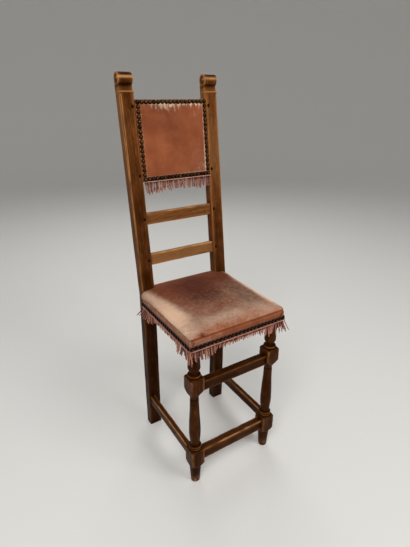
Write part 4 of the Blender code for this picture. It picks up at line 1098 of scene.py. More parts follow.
def seatShares(x, y):  # 0 to 1 from left to right and from front to back
    return x / seat["side"] / 2 + 0.5, (y - seat["front"]) / (seat["rear"] - seat["front"])


def seatHeight(x, y, edge):
    inward = min(max(edge, 0.0) / seat["rollWidth"], 1.0)
    rounding = math.sqrt(max(1 - (1 - inward) ** 2, 0.0))
    acrossShare = min(abs(x) / seat["side"], 1.0)
    middle = (seat["rear"] + seat["front"]) / 2
    along = min(max((y - middle) / ((seat["rear"] - seat["front"]) / 2), -1.0), 1.0)
    fall = seat["backFall"] if along > 0 else 1.0
    power = seat["crownPower"]
    crown = seat["crown"] * (1 - acrossShare ** (power + seat["backFull"] * max(along, 0.0)))
    crown *= 1 - fall * abs(along) ** power
    lump = seat["lump"] * smooth(0.0, 0.03, edge)
    lump *= rough(x, y, 0, 22.0, 3.0) + 0.5 * rough(x, y, 0, 55.0, 5.0)
    lift = seat["backLift"] * nearBack(y)
    return seat["border"] + lift + (seat["rollHeight"] + crown) * rounding + lump


def nearBack(y):
    return smooth(seat["notchY"] - seat["overhangRun"], seat["notchY"] - 0.006, y)


def seatWear(x, y):  # how pale (worn, with painted highlights), how dark (painted shade) and how brown the top is
    a, b = seatShares(x, y)
    edge = seat["side"] - x
    rear = seat["rear"] - y
    drift = 0.05 * rough(x, y, 0, 14.0, 9.0)
    left = blob(a + drift, 0.04, 0.055 + 0.12 * smooth(0.8, 0.05, b)) * smooth(1.04, 0.80, b)
    left *= 1.18 - 0.40 * smooth(0.40, 0.08, b)
    front = blob(b + drift, 0.14, 0.13) * smooth(1.2, 0.46, a) * (0.85 + 0.35 * rough(x, y, 0, 24.0, 1.0))
    base = 0.36 + 0.20 * smooth(0.52, 0.80, a) + 0.16 * rough(x, y, 0, 30.0, 7.0)
    base *= smooth(0.95, 0.62, b)
    pale = max(left, 0.66 * front, base) + patch(a, b, seatWorn["rubbed"])
    # the pale top ends before the front roll, and is browned round the stain
    turned = smooth(-0.002, 0.018, y - seat["front"] + 0.004 * rough(x, y, 0, 40.0, 2.0))
    pale *= turned + (1 - turned) * (0.74 + 0.20 * smooth(0.14, 0.02, a))
    pale *= 1 - patch(x, y, seatWorn["browned"])
    # painted highlight along the right and rear edges
    line = 0.80 * blob(edge, *seatWorn["edgeLine"]) * smooth(0.0, 0.2, b)
    line += 0.70 * blob(rear, *seatWorn["edgeLine"])
    line *= 0.8 + 0.6 * rough(x, y, 0, 70.0, 6.0)
    # painted shade: the middle and its tail, the right-hand side, and the top behind its front and edges,
    # where the pile looks dark
    core = patch(a, b, seatWorn["core"])
    tail = patch(a, b, seatWorn["tail"])
    shade = 0.80 * smooth(0.46, 0.80, a) * smooth(0.04, 0.26, b) * smooth(0.010, 0.024, edge)
    brown = 0.58 * smooth(0.06, 0.20, b) * smooth(0.012, 0.030, edge)
    deep = min(max(core + tail, shade, brown), 1.0) * (1 - 0.75 * max(left, 0.6 * front))
    return pale * (1 - 0.85 * core) + line, 0.95 * deep, 0.46 * core


def notchGrid(inset, spacing):  # the seat's plan as a grid round the posts, with its border anticlockwise
    side = seat["side"] - inset
    notchX = seat["notchX"] - inset
    notchY = seat["notchY"] - inset
    sideLines = lineSteps(-side, -notchX, spacing)
    middleLines = lineSteps(-notchX, notchX, spacing)
    xs = sideLines[:-1] + middleLines + [-x for x in reversed(sideLines[:-1])]
    mainLines = lineSteps(seat["front"] + inset, notchY, spacing)
    ys = mainLines + lineSteps(notchY, seat["rear"] - inset, spacing)[1:]
    firstX = len(sideLines) - 1
    lastX = firstX + len(middleLines) - 1
    notchRow = len(mainLines) - 1
    lastColumn = len(xs) - 1
    lastRow = len(ys) - 1
    spots = {}
    for row, y in enumerate(ys):
        for column, x in enumerate(xs):
            if row <= notchRow or firstX <= column <= lastX:
                spots[column, row] = (len(spots), x, y)
    faces = []
    for column, row in spots:
        corners = ((column, row), (column + 1, row), (column + 1, row + 1), (column, row + 1))
        if all(corner in spots for corner in corners):
            faces.append(tuple(spots[corner][0] for corner in corners))
    walk = [(column, 0) for column in range(lastColumn)]
    walk += [(lastColumn, row) for row in range(notchRow)]
    walk += [(column, notchRow) for column in range(lastColumn, lastX, -1)]
    walk += [(lastX, row) for row in range(notchRow, lastRow)]
    walk += [(column, lastRow) for column in range(lastX, firstX, -1)]
    walk += [(firstX, row) for row in range(lastRow, notchRow, -1)]
    walk += [(column, notchRow) for column in range(firstX, 0, -1)]
    walk += [(0, row) for row in range(notchRow, 0, -1)]
    return [(x, y) for index, x, y in spots.values()], faces, [spots[spot][0] for spot in walk]


def overhang(x, y, z):  # shift of the seat's edge at its back corners, to the left at both
    high = smooth(seat["crease"] - 0.006, seat["crease"] + 0.002, z)
    edge = smooth(seat["side"] - 0.035, seat["side"], abs(x))
    shift = -seat["overhang"] if x < 0 else -seat["drawnIn"] * seat["overhang"]
    return shift * nearBack(y) * high * edge


def makeSeatCover():
    plan, faces, border = notchGrid(0.0, seat["spacing"])
    points = []
    values = {"pale": [], "deep": [], "stain": []}
    for x, y in plan:
        roundX, roundY, edge = roundedPlan(x, y, seat["cornerTop"])
        z = seatHeight(roundX, roundY, edge)
        worn, dark, brown = seatWear(x, y)
        # painted highlight along the edges, but not near the front
        if y > seat["front"] + 0.02:
            worn += 0.16 * blob(edge, 0.004, 0.005) * (0.6 + 0.8 * rough(x, y, 0, 60.0, 2.0))
        points.append((roundX + overhang(x, y, z), roundY, z))
        values["pale"].append(worn)
        values["deep"].append(dark * smooth(0.0, 0.02, edge))
        values["stain"].append(max(patch(x, y, seatWorn["stain"]), brown))
    stainX = seatWorn["stain"][1]
    nailLine = seatWorn["nailLine"]
    above = border
    for z, bulge in seat["skirt"]:
        low = smooth(seat["crease"], seat["cornerLowAt"], z)
        radii = [top + (bottom - top) * low for top, bottom in zip(seat["cornerTop"], seat["cornerLow"])]
        backLift = seat["backLift"] * smooth(seat["crease"], seat["border"], z)
        backSag = seat["creaseSag"] * blob(z, seat["crease"], 0.003)
        below = []
        for place, index in enumerate(border):
            squareX, squareY = plan[index]
            x, y, edge = roundedPlan(squareX, squareY, radii)
            before = plan[border[place - 1]]
            after = plan[border[(place + 1) % len(border)]]
            ahead = Vector((after[0] - before[0], after[1] - before[1], 0)).normalized()
            outward = Vector((ahead.y, -ahead.x, 0))
            onFront = squareY < seat["front"] + nearly
            onSide = abs(outward.x) > 0.7
            inNotch = seat["notchX"] - nearly <= abs(squareX) < seat["side"] - nearly
            level = z + nearBack(squareY) * (backLift - backSag)
            out = bulge * (0.85 + 0.35 * rough(squareX, squareY, z, 40.0, 4.0))
            along = squareX if abs(outward.y) > 0.7 else squareY
            pull = seat["pucker"] * math.cos(2 * math.pi * along / seat["nailPitch"])
            out += pull * blob(z, *seat["puckerAt"])
            # a folded pleat on both faces of each front corner
            fromCorner = seat["side"] - abs(squareX) if onFront else squareY - seat["front"]
            foldAt = seat["foldFront"] if onFront else seat["foldSide"]
            foldAt += seat["foldSlope"] * (seat["crease"] - z)
            fold = smooth(seat["crease"], seat["crease"] - 0.005, z)
            crease = fold * blob(fromCorner, foldAt + 0.0020, 0.0016)
            lap = fold * seat["foldHeight"] * smooth(foldAt + 0.0012, foldAt - 0.0008, fromCorner)
            out += lap - seat["foldCrease"] * crease
            if squareY >= seat["notchY"] - nearly and inNotch:
                out = 0.0
                padTop = points[index][2]
                fall = (padTop - seat["notchEnd"]) * (seat["border"] - z)
                level = padTop - fall / (seat["border"] - seat["skirtEnd"])
            points.append(Vector((x + overhang(squareX, squareY, z), y, level)) + outward * out)
            # painted highlights on the roll and above the nails
            worn = 0.16 * blob(z, *seatWorn["rollLine"]) + 0.34 * blob(z, nailLine, 0.0010) - 0.06
            # the sides' boxing is paler, painted light
            if onSide:
                rolled = smooth(*seatWorn["rollEnds"], z)
                boxing = 0.36 + 0.22 * rough(0, squareY, z, 45.0, 8.0) + 0.34 * blob(z, nailLine, 0.0014)
                worn = values["pale"][index] * rolled + boxing * (1 - rolled)
            elif onFront:
                fromLeft = seatShares(squareX, squareY)[0]
                boxing = (0.14 + 0.26 * smooth(0.55, 0.05, fromLeft)) * smooth(*seatWorn["boxingFrom"], z)
                worn += boxing + 0.12 * rough(squareX, 0, z, 60.0, 3.0)
            # painted shade in the crease under the roll, low on the skirt and in the pleats' creases
            dark = (0.62 if onFront else 0.26) * blob(z, seat["crease"], 0.0018)
            dark += 0.16 * smooth(*seatWorn["lowShade"], z)
            dark += 0.9 * crease
            mark = blob(squareX, stainX, seatWorn["stainWidth"]) * smooth(*seatWorn["stainEnds"], z)
            # painted shadow of each front corner's pleat, carried in the stain colour
            if squareX < 0:
                foldShade = 0.46 * fold * blob(fromCorner, 0.6 * foldAt, 0.0030)
            else:
                foldShade = 0.24 * fold * blob(fromCorner, foldAt, 0.0022)
            values["pale"].append(worn)
            values["deep"].append(dark)
            values["stain"].append(max(0.9 * mark, foldShade) if onFront else 0.4 * foldShade)
            below.append(len(points) - 1)
        joinRings(faces, above, below)
        above = below
    cover = addPiece("seat_velvet", points, faces, velvet, ["seat_cover"], values, closed=False)
    area = sheetArea(cover)
    thicken(cover, seat["thickness"])
    return cover, area


seatVelvet, seatArea = makeSeatCover()

panelLow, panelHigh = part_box("panel_nails_top")
panelBase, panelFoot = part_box("panel_nails_bottom")
rowHalf = 0.00525  # half the width of a nail row's solid
panel = {
    "half": panelHigh.x,
    "top": unraked((panelLow + panelHigh) / 2)[2] + rowHalf,
    "bottom": unraked((panelBase + panelFoot) / 2)[2] - rowHalf,
    "spacing": 0.0020,
    "border": 0.0108,
    "crown": 0.0068,
    "crownPower": 2.6,
    "lump": 0.0006,
    "backs": (0.0004, 0.0016, 0.0030, 0.0038),  # rows that turn back over the frame's edge
    "edge": 0.0012,
    "turnIn": 0.005,  # cloth that is turned back, in the cut size
    "thickness": 0.0014,
    "pucker": 0.00028,
    "puckerAt": (0.003, 0.003),  # place and spread, in from the nails
    "rubbed": (0.16, 0.34, 0.44, 0.09, 0.11),  # ovals as on the seat
    "dark": (0.34, 0.48, 0.72, 0.26, 0.26),
}
panelMiddle = (panel["top"] + panel["bottom"]) / 2
panelFlatX = panel["half"] - panel["border"]
panelFlatS = (panel["top"] - panel["bottom"]) / 2 - panel["border"]


def panelGrid(inset, spacing):  # spots in x and s, faces, and the border anticlockwise
    xs = lineSteps(-panel["half"] + inset, panel["half"] - inset, spacing)
    heights = lineSteps(panel["bottom"] + inset, panel["top"] - inset, spacing)
    size = len(xs)
    faces = []
    for row in range(len(heights) - 1):
        for column in range(size - 1):
            low = row * size + column
            faces.append((low, low + 1, low + size + 1, low + size))
    border = list(range(size - 1)) + [row * size + size - 1 for row in range(len(heights) - 1)]
    border += [(len(heights) - 1) * size + column for column in range(size - 1, 0, -1)]
    border += [row * size for row in range(len(heights) - 1, 0, -1)]
    return [(x, s) for s in heights for x in xs], faces, border


def panelCrown(x, s):
    acrossShare = min(abs(x) / panelFlatX, 1.0)
    upShare = min(abs(s - panelMiddle) / panelFlatS, 1.0)
    return panel["crown"] * (1 - acrossShare ** panel["crownPower"]) * (1 - upShare ** panel["crownPower"])


def panelWear(x, s, inside):  # pale drips from the top edge, a pale line inside the nails, and a dark middle
    a = x / panel["half"] / 2 + 0.5
    b = (s - panel["bottom"]) / (panel["top"] - panel["bottom"])
    drip = 0.0060 + 0.0200 * max(0.22 + rough(x, 0, 0, 105.0, 5.0), 0.0)
    streak = smooth(0.14, 0.30, a) * smooth(1.0, 0.82, a) * blob(panelFlatS + panelMiddle - s, 0.002, drip)
    streak *= 0.62 + 1.7 * rough(x, 0, 0.15 * s, 260.0, 8.0) + 0.7 * rough(x, 0, s, 330.0, 2.0)
    line = blob(inside, 0.0010, 0.0017) * (0.9 + 0.5 * rough(x, 0, s, 80.0, 4.0))
    byRight = x > 0 and abs(x) / panelFlatX > abs(s - panelMiddle) / panelFlatS
    worn = streak + line * (0.75 if byRight else 0.42)
    worn += 0.31 * smooth(0.35, 0.95, a) * smooth(0.80, 0.15, b)
    worn -= 0.06
    dark = patch(a, b, panel["dark"]) + 0.26 * smooth(0.6, 0.1, a) * smooth(0.40, 0.90, b)
    return worn + patch(a, b, panel["rubbed"]), dark


def makePanelCover():
    spots, faces, border = panelGrid(0.0, panel["spacing"])
    points = []
    values = {"pale": [], "deep": []}
    for x, s in spots:
        inside = min(panelFlatX - abs(x), panelFlatS - abs(s - panelMiddle))
        lump = panel["lump"] * smooth(0.0, 0.03, inside)
        lump *= rough(x, 0, s, 26.0, 6.0) + 0.6 * rough(x, 0, s, 60.0, 1.0)
        toEdge = min(panel["half"] - abs(x), panel["top"] - s, s - panel["bottom"])
        rim = panel["edge"] * (1 - math.sqrt(max(1 - (1 - min(toEdge / panel["edge"], 1.0)) ** 2, 0.0)))
        along = x if abs(s - panelMiddle) / panelFlatS > abs(x) / panelFlatX else s
        pull = panel["pucker"] * math.cos(2 * math.pi * along / seat["nailPitch"])
        pull *= blob(inside, *panel["puckerAt"])
        points.append(raked(x, -panelCrown(x, s) - lump - pull + rim, s))
        worn, dark = panelWear(x, s, inside)
        values["pale"].append(worn)
        values["deep"].append(dark)
    above = border
    for back in panel["backs"]:
        below = []
        for index in border:
            x, s = spots[index]
            below.append(len(points))
            points.append(raked(x, panel["edge"] + back, s))
            values["pale"].append(0.0)
            values["deep"].append(0.25)
        joinRings(faces, above, below)
        above = below
    values["stain"] = [0.0] * len(points)
    cover = addPiece("panel_velvet", points, faces, velvet, ["panel_cover"], values, closed=False)
    area = sheetArea(cover)
    thicken(cover, panel["thickness"])
    return cover, area


panelVelvet, panelArea = makePanelCover()
print("velvet made")


# nails: touching brass domes, browned by age and rubbed bright on their crowns
nails = {
    "width": 0.0110,
    "height": 0.0034,
    "pitch": seat["nailPitch"],
    "rings": 5,
    "around": 14,
    "tilt": 0.10,
    "offLine": 0.00035,  # hammered in a little off their line and pitch
    "offPitch": 0.0002,
    "widths": (0.95, 1.0),
    "heights": (0.9, 1.05),
    "shines": (0.1, 0.75),
    "trim": 0.0026,  # the nails on the fringe stand this far off the velvet
    "bed": 0.0002,  # and the others this far
    "rise": 0.005,  # the seat's nail line above the cover's lower edge
    "brown": rgb(17, 11, 6),
    "brass": rgb(156, 116, 58),
}


def makeBrass():
    finish, tree, inputs = newFinish("browned brass", **{"Metallic": 0.85, "Specular IOR Level": 0.2})
    blotch = noiseOf(tree, placeOf(tree), 420.0, 4.0, 0.6)
    rub = timesOf(tree, readOf(tree, "crownRub"), rangeOf(tree, blotch, 0.3, 0.7, 0.2, 1.0), clamp=True)
    tree.links.new(mixOf(tree, rub, nails["brown"], nails["brass"]), inputs["Base Color"])
    tree.links.new(rangeOf(tree, blotch, 0.3, 0.7, 0.30, 0.52), inputs["Roughness"])
    tree.links.new(bumpOf(tree, blotch, 0.2, 0.0004), inputs["Normal"])
    return finish


brass = makeBrass()


def nailRow(name, stands, middle, ahead, outward, length, seed, kind=nails):
    chance = random.Random(seed)
    count = max(round(length / kind["pitch"]), 1)
    pitch = length / count
    across = outward.cross(ahead)
    points = []
    faces = []
    rubbed = []
    for index in range(count):
        spot = middle + ahead * (-length / 2 + (index + 0.5) * pitch)
        offLine = chance.uniform(-nails["offLine"], nails["offLine"])
        spot += across * offLine + ahead * chance.uniform(-nails["offPitch"], nails["offPitch"])
        radius = kind["width"] / 2 * chance.uniform(*nails["widths"])
        height = kind["height"] * chance.uniform(*nails["heights"])
        leanA = nails["tilt"] * chance.uniform(-1, 1)
        leanB = nails["tilt"] * chance.uniform(-1, 1)
        shine = chance.uniform(*nails["shines"])
        first = len(points)
        for ring in range(nails["rings"]):
            turn = math.pi / 2 * ring / nails["rings"]
            reach = radius * math.cos(turn) ** 0.85
            for step in range(nails["around"]):
                angle = 2 * math.pi * step / nails["around"]
                u = reach * math.cos(angle)
                v = reach * math.sin(angle)
                rise = height * math.sin(turn) + (leanA * u + leanB * v) * (0.3 if ring == 0 else 1.0)
                points.append(spot + ahead * u + across * v + outward * rise)
                rubbed.append(shine * smooth(0.45, 1.0, ring / nails["rings"]) ** 1.5)
        points.append(spot + outward * height)
        rubbed.append(shine)
        size = nails["around"]
        for ring in range(nails["rings"] - 1):
            for step in range(size):
                after = (step + 1) % size
                low = first + ring * size
                faces.append((low + step, low + after, low + size + after, low + size + step))
        last = first + (nails["rings"] - 1) * size
        for step in range(size):
            faces.append((last + step, last + (step + 1) % size, len(points) - 1))
        faces.append(tuple(first + step for step in reversed(range(size))))
    return addPiece(name, points, faces, brass, stands, {"crownRub": rubbed})


def trimNails(rowName, *row):
    return nailRow(rowName + "_domes", [rowName], *row)


nailLine = seat["skirtEnd"] + nails["rise"]
nailHalf = nails["width"] / 2
frontWidth = 2 * (seat["side"] + nails["trim"])
sideDepth = seat["notchY"] - seat["front"]
sideMiddle = (seat["notchY"] + seat["front"]) / 2
frontSpot = Vector((0, seat["front"] - nails["trim"], nailLine))
seatTrim = [trimNails("seat_nails_front", frontSpot, axisX, -axisY, frontWidth, 1)]
for label, side in sides:
    sideSpot = Vector((side * (seat["side"] + nails["trim"]), sideMiddle, nailLine))
    seatTrim.append(trimNails(f"seat_nails_{label}", sideSpot, axisY, axisX * side, sideDepth, 3 + side))
rearLow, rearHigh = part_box("seat_nails_rear")
rearSpot = Vector((0, seat["rear"] + nails["bed"], nailLine))
seatTrim.append(trimNails("seat_nails_rear", rearSpot, axisX, axisY, rearHigh.x - rearLow.x, 6))
panelTopSpot = raked(0, -nails["bed"], panel["top"] - nailHalf)
panelTrim = [trimNails("panel_nails_top", panelTopSpot, axisX, offPanel, 2 * panel["half"], 7)]
panelFootSpot = raked(0, -nails["trim"], panel["bottom"] + nailHalf)
panelTrim.append(trimNails("panel_nails_bottom", panelFootSpot, axisX, offPanel, 2 * panel["half"], 8))
for label, side in sides:
    rowName = f"panel_nails_{label}"
    rowLow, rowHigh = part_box(rowName)
    rowLength = (rowHigh.z - rowLow.z) / cosRake
    rowSpot = raked(side * (panel["half"] - nailHalf), -nails["bed"], unraked((rowLow + rowHigh) / 2)[2])
    panelTrim.append(trimNails(rowName, rowSpot, upPost, offPanel, rowLength, 10 + side))
print("nails made")


# fringe: a braid header under the nails and two-ply twisted strands, worn short along the seat's middles
fringe = {
    "header": 0.0104,
    "headerOff": 0.0003,
    "headerThick": 0.0017,
    # outline of the header's tape: shares of its width and thickness
    "tape": ((-0.5, 0.1), (-0.5, 0.9), (-0.46, 1.0), (0.46, 1.0),
             (0.5, 0.9), (0.5, 0.1), (0.46, 0.0), (-0.46, 0.0)),
    "tapeSpacing": 0.004,
    "cord": 0.0008,  # ply radius of the cord along the header
    "cordOff": 0.0032,
    "cordSpacing": 0.0011,
    "cordLight": 1.4,
    "length": 0.034,
    "lengths": (0.86, 1.04),
    "shortest": 0.56,
    "fullFrom": 0.38,
    "fullRamp": 0.28,
    "sweepAt": (0.72, 0.16),  # where along the row the strands are swept aside
    "twist": 0.0082,  # length of one turn
    "plies": (0.9, 1.08),
    "ringSpacing": 0.0021,
    "around": 6,
    "rose": rgb(138, 68, 52),
    "pink": rgb(198, 138, 116),
    # dark colour for grime and for painted shade
    "sootAndShade": rgb(42, 13, 8),
}
# how the strands of each fringe hang; soils are drawn at random, shade is painted shade on the strands that
# hang behind, endOut is for the first and the last end
seatHang = {
    "slant": -0.34, "sweep": -0.30, "flareFrom": 0.74, "out": 0.10, "endOut": (0.10, 0.16), "stray": 0.09,
    "pitch": 0.0058, "ply": 0.00096, "cordAt": 0.66, "shade": 0.86, "soils": (0.0, 0.1, 0.3, 0.55, 0.75),
}
sideHang = {
    "slant": -0.62, "sweep": 0.0, "flareFrom": 0.62, "out": 0.14, "endOut": (0.0, 0.34), "stray": 0.10,
    "pitch": 0.0072, "ply": 0.00094, "cordAt": 0.66, "shade": 0.86, "soils": (0.0, 0.0, 0.1, 0.6, 0.85),
}
panelHang = {
    "slant": 0.04, "sweep": -0.10, "flareFrom": 0.62, "out": 0.02, "endOut": (0.16, 0.16), "stray": 0.08,
    "pitch": 0.0060, "ply": 0.00108, "cordAt": 0.62, "shade": 0.50, "soils": (0.15, 0.25, 0.4, 0.55, 0.7),
}


def makeFringeYarn():
    sockets = {"Roughness": 0.88, "Specular IOR Level": 0.15, "Sheen Weight": 0.15}
    finish, tree, inputs = newFinish("twisted yarn", **sockets)
    place = placeOf(tree)
    fuzz = noiseOf(tree, place, 1500.0, 3.0, 0.6)
    worn = noiseOf(tree, place, 60.0, 3.0, 0.6)
    yarn = mixOf(tree, readOf(tree, "ply"), fringe["rose"], fringe["pink"])
    yarn = mixOf(tree, rangeOf(tree, worn, 0.42, 0.7, 0.0, 0.35), yarn, fringe["rose"])
    # grime, and painted shade on the strands behind and at their tops
    yarn = mixOf(tree, readOf(tree, "grimeAndShade"), yarn, fringe["sootAndShade"])
    yarn = dimOf(tree, yarn, rangeOf(tree, fuzz, 0.3, 0.7, 0.78, 1.12))
    tree.links.new(yarn, inputs["Base Color"])
    tree.links.new(bumpOf(tree, fuzz, 0.5, 0.0006), inputs["Normal"])
    return finish


yarn = makeFringeYarn()


def twistedCord(store, path, ahead, plyRadius, seed, grimeAndShade, closeTip=True, lightest=0.92):
    points, faces, ply, grimeAndShadeValues = store
    around = fringe["around"]
    for which in (0, 1):
        first = len(points)
        run = 0.0
        for ring, spot in enumerate(path):
            before = path[max(ring - 1, 0)]
            after = path[min(ring + 1, len(path) - 1)]
            tangent = (after - before).normalized()
            if ring:
                run += (spot - path[ring - 1]).length
            sideways = (ahead - tangent * ahead.dot(tangent)).normalized()
            depthways = tangent.cross(sideways)
            turn = 2 * math.pi * run / fringe["twist"] + math.pi * which + seed
            atTip = closeTip and ring == len(path) - 1
            reach = plyRadius * (0.35 if atTip else 0.92)
            radius = plyRadius * (0.45 if atTip else 1.0)
            centre = spot + sideways * (reach * math.cos(turn)) + depthways * (reach * math.sin(turn))
            for step in range(around):
                angle = 2 * math.pi * step / around
                aside = centre + sideways * (radius * math.cos(angle))
                points.append(aside + depthways * (radius * math.sin(angle)))
                ply.append(lightest - 0.50 * (1 - which))
                # painted shade at the top of each strand, under the header
                soilAndShade = grimeAndShade * (0.8 + 0.2 * smooth(0.010, 0.0, run)) + 0.35 * smooth(0.012, 0.004, run)
                grimeAndShadeValues.append(min(soilAndShade, 1.0))
        for face in tubeFaces(len(path), around):
            faces.append(tuple(first + corner for corner in face))


def fringeHeader(store, middle, ahead, outward, down, length, cordAt):  # a woven tape and a cord along it
    points, faces, ply, grimeAndShadeValues = store
    half = length / 2
    cuts = max(round(length / fringe["tapeSpacing"]), 2)
    for cut in range(cuts + 1):
        spot = middle + ahead * (-half + length * cut / cuts)
        for share, off in fringe["tape"]:
            lift = fringe["headerOff"] + off * fringe["headerThick"]
            points.append(spot - down * (share * fringe["header"]) + outward * lift)
            ply.append(0.1)
            grimeAndShadeValues.append(0.7)
    faces += tubeFaces(cuts + 1, len(fringe["tape"]))
    path = []
    steps = round(length / fringe["cordSpacing"])
    lift = fringe["headerOff"] + fringe["cordOff"]
    for step in range(steps + 1):
        spot = middle + ahead * (-half + length * step / steps)
        path.append(spot + down * (cordAt * fringe["header"]) + outward * lift)
    twistedCord(store, path, outward, fringe["cord"], 0.0, 0.0, closeTip=False, lightest=fringe["cordLight"])


def fringeRow(name, middle, ahead, outward, down, length, shortest, hang, seed, flare):
    chance = random.Random(seed)
    store = ([], [], [], [])
    fringeHeader(store, middle, ahead, outward, down, length, hang["cordAt"])
    half = length / 2
    count = max(round(length / hang["pitch"]), 1)
    gap = length / count
    for index in range(2 * count - 1):  # the odd ones hang behind, between the others
        behind = index % 2
        along = -half + (index + 1) * gap / 2
        reach = along / half
        full = smooth(fringe["fullFrom"], fringe["fullFrom"] + fringe["fullRamp"], abs(reach))
        share = shortest + (1 - shortest) * full
        drop = fringe["length"] * share * chance.uniform(*fringe["lengths"])
        endLean = flare[0] if reach < 0 else flare[1]
        lean = endLean * smooth(hang["flareFrom"], 1.0, abs(reach)) + chance.gauss(0, hang["stray"])
        lean += hang["slant"] * (1 - full)
        lean += hang["sweep"] * blob(reach, *fringe["sweepAt"])
        push = hang["out"] + chance.uniform(-0.08, 0.12)
        push += hang["endOut"][reach > 0] * smooth(0.7, 1.0, abs(reach))
        curl = chance.gauss(0, 0.9 * hang["stray"])
        # random soil, and painted shade on the strands that hang behind
        grimeAndShade = min(chance.choice(hang["soils"]) + hang["shade"] * behind, 1.0)
        # a leaning strand is no longer than a straight one
        drop *= (1 - 0.14 * behind) / math.hypot(1.0, lean)
        push -= 0.05 * behind
        start = middle + ahead * (along + chance.uniform(-0.0004, 0.0004)) + down * (0.42 * fringe["header"])
        start = start + outward * (fringe["headerOff"] + (0.75 - 0.7 * behind) * fringe["headerThick"])
        steps = max(round(drop / fringe["ringSpacing"]), 5)
        path = []
        for step in range(steps + 1):
            portion = step / steps
            fall = drop * portion
            bend = lean * fall + curl * fall * (portion - 0.4)
            path.append(start - axisZ * fall + ahead * bend + outward * (push * fall * portion))
        plyRadius = hang["ply"] * chance.uniform(*fringe["plies"])
        twistedCord(store, path, ahead, plyRadius, chance.uniform(0, 6.3), grimeAndShade)
    points, faces, ply, grimeAndShadeValues = store
    return addPiece(name + "_yarn", points, faces, yarn, [name], {"ply": ply, "grimeAndShade": grimeAndShadeValues})


velvetFront = Vector((0, seat["front"], nailLine))
seatTrim.append(fringeRow("seat_fringe_front", velvetFront, axisX, -axisY, -axisZ, frontWidth,
                          fringe["shortest"], seatHang, 21, (-0.26, 0.30)))
for label, side in sides:
    sideSpot = Vector((side * seat["side"], sideMiddle, nailLine))
    sideFlare = (-0.80 if side < 0 else -0.25, 0.34)
    seatTrim.append(fringeRow(f"seat_fringe_{label}", sideSpot, axisY, axisX * side, -axisZ, sideDepth,
                              fringe["shortest"] * 0.9, sideHang, 22 + side, sideFlare))
panelFringeSpot = raked(0, 0, panel["bottom"] + nailHalf)
panelTrim.append(fringeRow("panel_fringe", panelFringeSpot, axisX, offPanel, -upPost, 2 * panel["half"], 0.88,
                           panelHang, 25, (0.04, 0.10)))
print("fringe made")

# under the velvet: webbing, base cloths, stuffing, and the lining behind the panel
under = {
    "webbing": 0.44805,
    "weave": 0.0009,  # each strap's rise and fall over the others
    "weaveFrom": (0.0345, 0.0245),  # away from a crossing's middle
    "strapWidth": 0.044,
    "strapThick": 0.0013,
    "strapSpacing": 0.004,
    "strapCuts": 8,
    "strapFray": 0.012,
    "rails": {"length": ["seat_rail_front", "seat_rail_back"],
              "cross": ["seat_rail_left", "seat_rail_right"]},
    "clothBottom": 0.4500,
    "clothThick": 0.0008,
    "clothInset": 0.0050,
    "clothSpacing": 0.006,
    "clothWave": 0.0002,
    "stuffingBottom": 0.4514,
    "stuffingInset": 0.0034,
    "stuffingDrop": 0.0026,  # under the velvet
    "stuffingSpacing": 0.005,
    "panelClothT": 0.0034,
    "panelClothThin": 0.8,  # its thickness as a share of the seat cloth's
    "panelClothSpacing": 0.008,
    "panelInset": 0.0022,
    "panelPadT": (0.0021, 0.0031),  # front and back of the panel's stuffing
    "panelPadCrown": 0.95,
    "panelPadSpacing": 0.006,
    "liningT": 0.0228,
    "liningOff": 0.0009,
    "liningThick": 0.0008,
    "liningSpacing": 0.0036,
    "liningInset": 0.0035,
    "liningSag": 0.0016,
    "liningWave": 0.0005,
    "liningPull": 0.0005,  # pulled in waves by its tacks
    "hem": 0.009,
    "hemHeight": 0.0007,
    "hemSlope": 0.0016,
    "tack": {"pitch": 0.0235, "width": 0.0058, "height": 0.0016},
    "tackInset": 0.0045,
    "tackOff": 0.0016,
    "jute": rgb(150, 122, 82),
    "juteDark": rgb(92, 70, 42),
    "stripe": rgb(112, 44, 32),
    "hessian": rgb(142, 112, 72),
    "hessianDark": rgb(78, 56, 32),
    "hair": rgb(62, 46, 34),
    "hairDark": rgb(26, 18, 13),
    "lining": rgb(96, 50, 38),
    "liningDark": rgb(58, 28, 22),
    "threads": {"jute": 0.0014, "hessian": 0.0016, "lining": 0.0007},  # pitch of each weave
}


def weaveOf(tree, vector, pitch):  # a plain weave: how high the thread on top stands
    split = addNode(tree, "SeparateXYZ", {}, {0: vector})
    over = addNode(tree, "TexChecker", {}, {"Vector": vector, "Scale": 1 / pitch}).outputs["Fac"]
    feeds = {0: over}
    for way in (0, 1):
        turns = timesOf(tree, split.outputs[way], math.pi / pitch)
        feeds[2 + way] = mathOf(tree, "ABSOLUTE", mathOf(tree, "SINE", turns))
    return addNode(tree, "Mix", {"data_type": "FLOAT"}, feeds).outputs[0]


def makeCloth(name, light, dark, pitch, stripe=None):
    finish, tree, inputs = newFinish(name, **{"Roughness": 0.92, "Specular IOR Level": 0.1})
    lay = readOf(tree, "lay", "Vector")
    slub = noiseOf(tree, lay, 0.35 / pitch, 3.0, 0.6)
    height = weaveOf(tree, vectorOf(tree, "ADD", {0: lay, 1: swayOf(tree, slub, pitch * 0.9)}), pitch)
    cloth = mixOf(tree, rangeOf(tree, height, 0.1, 0.8), dark, light)
    cloth = mixOf(tree, rangeOf(tree, slub, 0.45, 0.75, 0.0, 0.4), cloth, dark)
    if stripe is not None:
        split = addNode(tree, "SeparateXYZ", {}, {0: lay})
        fromMiddle = mathOf(tree, "ABSOLUTE", split.outputs[0])
        band = mathOf(tree, "ABSOLUTE", mathOf(tree, "SUBTRACT", fromMiddle, under["strapWidth"] * 0.36))
        cloth = mixOf(tree, rangeOf(tree, band, 0.0013, 0.0019, 0.75, 0.0), cloth, stripe)
    tree.links.new(cloth, inputs["Base Color"])
    tree.links.new(bumpOf(tree, height, 0.7, pitch * 0.5), inputs["Normal"])
    return finish


